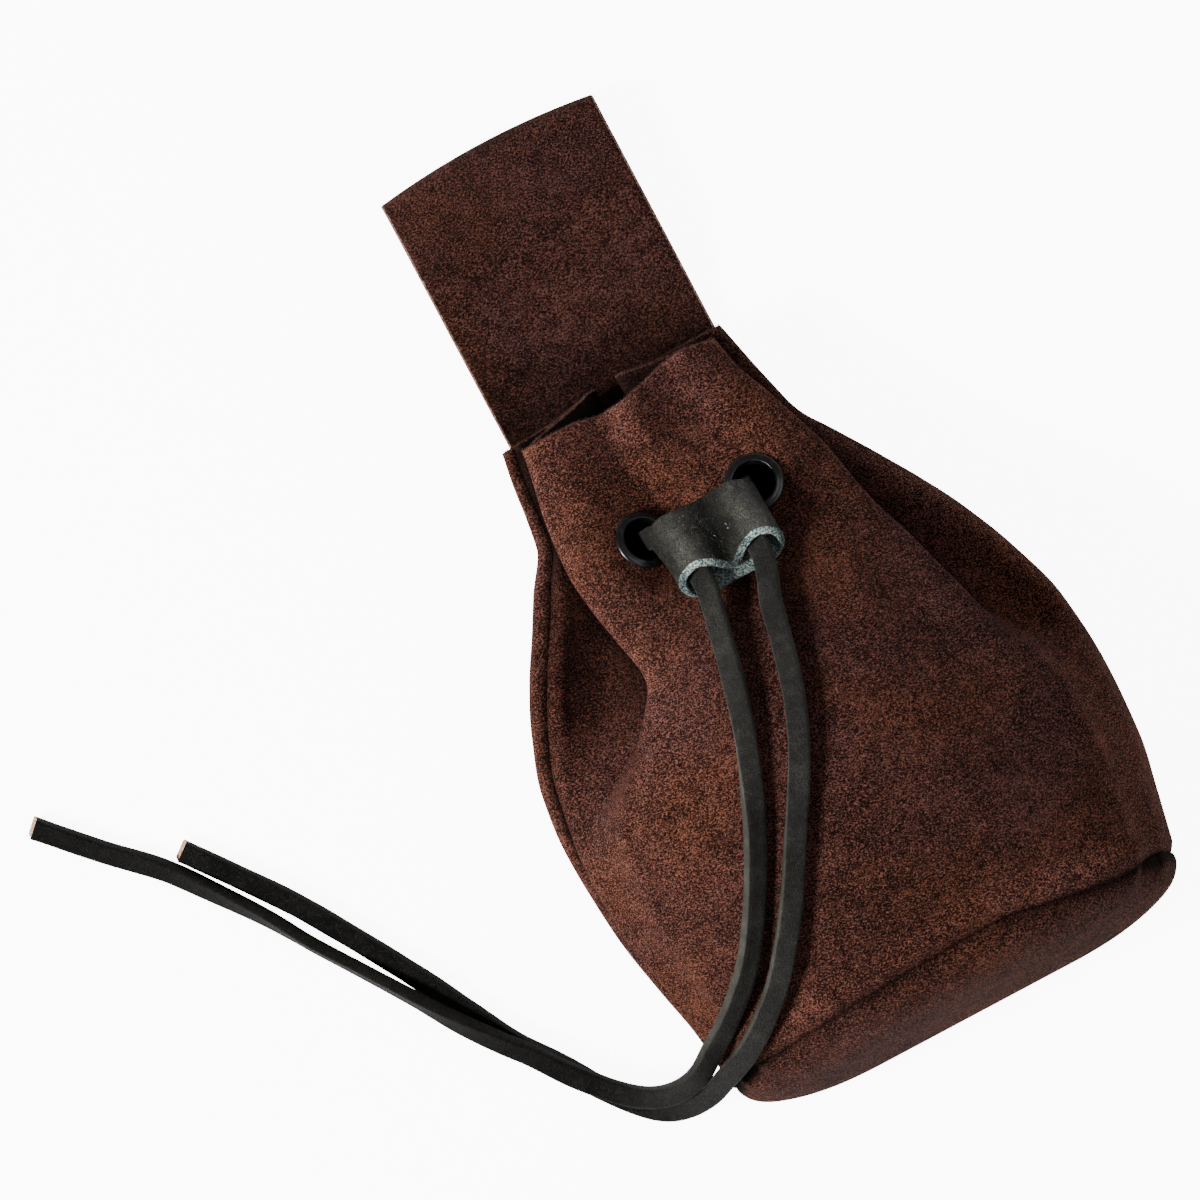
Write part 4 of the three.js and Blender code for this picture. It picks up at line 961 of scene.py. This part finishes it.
def rim_fibres(name, material, edge, inside, normals, thickness, per_mm, seed, length=0.8):
    """Short loose fibres of raw suede that stand out of a cut edge, one thin closed spike each.

    edge, inside, normals: the points of the edge, the points next to them and the edge's normals.
    """
    rng = np.random.default_rng(seed)
    span = np.linalg.norm(np.diff(edge, axis=0), axis=1)
    cells = rng.choice(len(span), int(span.sum() * per_mm), p=span / span.sum())
    count = len(cells)
    u = rng.uniform(0, 1, (count, 1))
    across = rng.uniform(-0.5, 0.5, (count, 1)) * thickness
    roots = edge[cells] + (edge[cells + 1] - edge[cells]) * u + normals[cells] * across
    leans = unit(edge - inside)[cells] + normals[cells] * across / thickness
    rng = np.random.default_rng(seed)
    leans = unit(leans + rng.normal(0, 0.55, (count, 3)))
    across = unit(np.cross(leans, rng.normal(0, 1, (count, 3))))
    across *= FIBRE_WIDTH * rng.uniform(0.6, 1.2, (count, 1)) / 2
    other = np.cross(leans, across)
    tips = roots + leans * length * rng.uniform(0.45, 1.25, (count, 1))
    foot = [roots + across, roots - across / 2 + other * 0.87, roots - across / 2 - other * 0.87]
    vertices = np.stack([*foot, tips], axis=1).reshape(-1, 3)
    vertices[:, 2] = np.maximum(vertices[:, 2], 0.02)
    spike = np.array([(2, 1, 0), (0, 1, 3), (1, 2, 3), (2, 0, 3)])
    faces = (spike + 4 * np.arange(count)[:, None, None]).reshape(-1, 3).tolist()
    piece = add_object(name, vertices, faces, [material], [0] * len(faces), 180)


def body():
    front, back = front_panel(), back_panel()
    base_panel()
    for name, grid, seed in (("front_rim_nap", front, 6), ("back_rim_nap", back, 7)):
        rim_fibres(name, RIM_FIBRE, grid[0], grid[1], grid_normals(grid)[0], LEATHER, per_mm=55, seed=seed)


body()


# ---- Belt loop ----
def loop_strap():
    bend = (LOOP_OPENING + STRAP) / 2
    top, tail = RIM_Y + LOOP_RISE, RIM_Y - LOOP_TAIL
    low = STRAP / 2
    sewn, high = low + STRAP + SEAM_GAP, low + 2 * bend
    turn_y, neck_y = top - bend, RIM_Y + LOOP_RISE / 12
    profile = [(tail + (turn_y - tail) * s, low) for s in np.linspace(0, 0.985, 40)]
    for a in np.linspace(-math.pi / 2, math.pi / 2, 21):
        profile.append((turn_y + bend * math.cos(a), low + bend + bend * math.sin(a)))
    steps = np.linspace(0.02, 1, 50)
    height = np.interp(steps, [0, 0.28, 0.5, 0.68, 0.82, 0.92, 1], [1, 1, 0.93, 0.68, 0.34, 0.09, 0])
    smooth = np.convolve(np.pad(height, 4, mode="edge"), np.ones(9) / 9, mode="valid")
    profile += [(turn_y + (neck_y - turn_y) * s, sewn + (high - sewn) * h) for s, h in zip(steps, smooth)]
    profile += [(neck_y + (tail - neck_y) * s, sewn) for s in np.linspace(0.03, 1, 30)]
    share = np.linspace(-1, 1, 57)
    grid = []
    for y, z in profile:
        near_top = ease((y - (top - LOOP_RISE / 3)) / (LOOP_RISE / 3))
        crown = LOOP_CROWN * near_top * (0.75 - share**2)
        grid.append(np.stack([share * LOOP_WIDTH / 2, y + crown, np.full_like(share, z)], axis=1))
    grid = np.array(grid)[:, ::-1]
    strap = wall_mesh("belt_strap", grid, STRAP, [STRAP_SUEDE, STRAP_EDGE, SUEDE_INSIDE], swell=0.34)
    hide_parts("belt_loop")
    normals = grid_normals(grid)
    for name, side, inner in (("strap_left_nap", -1, -2), ("strap_right_nap", 0, 1)):
        rim_fibres(name, STRAP_EDGE, grid[:, side], grid[:, inner], normals[:, side], STRAP,
                   per_mm=14, seed=8 + side, length=0.5)


loop_strap()


# ---- Slide ----
# Its section as shares of half width and half depth. Its rows from the top: x, place along the body and height as
# shares of the body's sizes, then shares of the width, depth and slanted cut, and how deep the middle dips.
SLIDE_SECTION = [
    (1, 0), (0.88, 0.72), (0.62, 1), (0.34, 0.66), (0, -0.12), (-0.34, 0.66), (-0.62, 1), (-0.88, 0.72), (-1, 0),
    (-0.88, -0.74), (-0.6, -1), (-0.28, -0.96), (0, -0.94), (0.28, -0.96), (0.6, -1), (0.88, -0.74),
]
SLIDE_ROWS = [
    (0.0645, 0.21, 0.61, 1.05, 0.92, 1, 0.12),
    (0.0707, 0.238, 0.651, 1.02, 0.96, 0.86, 0.6),
    (0.077, 0.268, 0.693, 1, 1, 0.76, 0.85),
    (0.0791, 0.295, 0.731, 1, 1, 0.86, 1),
]
SLIDE_STEPS = 34


def slide_tube():
    section = spline([(x, 0, z) for x, z in SLIDE_SECTION], True, np.linspace(0, 16, 193)[:-1])
    half_width = SLIDE_HALF_WIDTH - SLIDE_WALL / 2
    grid = []
    for x, along, z, wide, deep, cut, dip in spline(SLIDE_ROWS, False, np.linspace(0, 3, SLIDE_STEPS)):
        height = section[:, 2]
        height = np.where((np.abs(section[:, 0]) < 0.62) & (height > -0.5), 1 - (1 - height) * dip, height)
        depth = deep * SLIDE_HALF_DEPTH - SLIDE_WALL / 2
        back = cut * SLIDE_CUT * (1 - height) / 2
        grid.append(np.stack([
            x * BODY_HALF_WIDTH + section[:, 0] * wide * half_width,
            RIM_Y - along * BODY_LENGTH + math.sin(SLIDE_SLOPE) * height * depth - math.cos(SLIDE_SLOPE) * back,
            z * BODY_DEPTH + math.cos(SLIDE_SLOPE) * height * depth + math.sin(SLIDE_SLOPE) * back,
        ], axis=1))
    x, up = section[:, 0], section[:, 2] > -0.4
    # Painted highlights on the two lobes, painted shade in the middle valley and along the far left.
    worn_grain_and_painted_light = 0.72 + 1.15 * bell(np.abs(x) - 0.62, 0.19) - 0.5 * bell(x, 0.24) - 0.3 * (x < -0.85)
    # The rows grow darker towards the top, and the underside keeps 0.8 of its colour.
    painted_light_and_wear = np.linspace(0.6, 1.25, SLIDE_STEPS)[:, None] * np.where(up, worn_grain_and_painted_light, 0.8)
    slide = wall_mesh("lace_keeper", np.array(grid), SLIDE_WALL, [SLIDE_LEATHER, SLIDE_EDGE, SLIDE_EDGE], closed=True,
                      edge_slot=0, swell=0.25, skive=1.0, painted_light_and_wear=painted_light_and_wear)
    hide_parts("lace_slide")


slide_tube()


# ---- Eyelets ----
# The flange's face from the rolled lip at the hole to its rim, as shares of its width and height.
EYELET_FLANGE_SHAPE = [
    (0, 0), (0.02, 0.45), (0.06, 0.75), (0.13, 0.94), (0.22, 1), (0.31, 0.97), (0.4, 0.84), (0.5, 0.74), (0.62, 0.68),
    (0.75, 0.6), (0.86, 0.48), (0.94, 0.32), (0.985, 0.15), (1, 0),
]


def eyelet_ring(name, centre, lean, turn):
    near = LEATHER / 2 + REST_GAP
    wide = EYELET_OUTER_R - EYELET_HOLE_R
    half = [(EYELET_HOLE_R + wide * out, near + EYELET_FLANGE * rise) for out, rise in EYELET_FLANGE_SHAPE]
    half.append((EYELET_HOLE_R + EYELET_WALL, near))
    outline = [(r, -h) for r, h in reversed(half)] + half
    axis = eyelet_axis(lean, turn)
    side = unit(np.cross([0, 1, 0], axis))
    other = np.cross(axis, side)
    count, n = 96, len(outline)
    vertices, faces = [], []
    for i in range(count):
        a = 2 * math.pi * i / count
        for r, h in outline:
            vertices.append(np.array(centre) + side * r * math.cos(a) + other * r * math.sin(a) + axis * h)
        for j in range(n):
            here, after = i * n, (i + 1) % count * n
            k = (j + 1) % n
            faces.append((here + j, after + j, after + k, here + k))
    ring = add_object(name + "_ring", vertices, faces, [ENAMEL], [0] * len(faces), 60)
    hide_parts(name)


for name, centre, lean, turn in EYELETS:
    eyelet_ring(name, centre, lean, turn)


# ---- Floor and light ----
FLOOR_HALF, FLOOR_Z = 3, -0.0002
# The floor glows softly on the pouch, and brighter where the camera sees it.
FLOOR_GLOW, FLOOR_SEEN_GLOW = 0.55, 9.0
WORLD_STRENGTH = 0.17
LIGHT_TARGET = np.array([0, 0.03, 0.02])
# Name, place, size, power and tone of each lamp.
LAMPS = (
    ("key", (-1.05, 0.12, 0.85), 0.35, 38.0, (1.0, 0.97, 0.94)),
    ("fill", (0.75, -0.15, 1.1), 0.9, 4.2, (0.95, 0.97, 1.0)),
)


def floor():
    mesh = bpy.data.meshes.new("floor")
    low, high, z = -FLOOR_HALF, FLOOR_HALF, FLOOR_Z
    mesh.from_pydata([(low, low, z), (high, low, z), (high, high, z), (low, high, z)], [], [range(4)])
    paper, s, shader = new_material("floor_paper")
    shader.inputs["Base Color"].default_value = (0.9, 0.9, 0.9, 1)
    shader.inputs["Emission Color"].default_value = (1, 1, 1, 1)
    seen = s.node("LightPath", {}).outputs["Is Camera Ray"]
    s.links.new(s.add(FLOOR_GLOW, s.times(seen, FLOOR_SEEN_GLOW)), shader.inputs["Emission Strength"])
    shader.inputs["Roughness"].default_value = 0.9
    shader.inputs["Specular IOR Level"].default_value = 0.1
    mesh.materials.append(paper)
    add_to_scene("floor", mesh)


def lights():
    world = bpy.data.worlds.new("studio")
    world.use_nodes = True
    background = world.node_tree.nodes["Background"]
    background.inputs["Color"].default_value = (1, 1, 1, 1)
    background.inputs["Strength"].default_value = WORLD_STRENGTH
    bpy.context.scene.world = world
    for name, place, size, power, tone in LAMPS:
        data = bpy.data.lights.new(name, "AREA")
        data.size = size
        data.energy = power
        data.color = tone
        lamp = add_to_scene(name, data)
        lamp.location = place
        x, y, z = LIGHT_TARGET - np.array(place)
        lamp.rotation_euler = (math.atan2(math.hypot(x, y), -z), 0, math.atan2(y, x) - math.pi / 2)


floor()
lights()
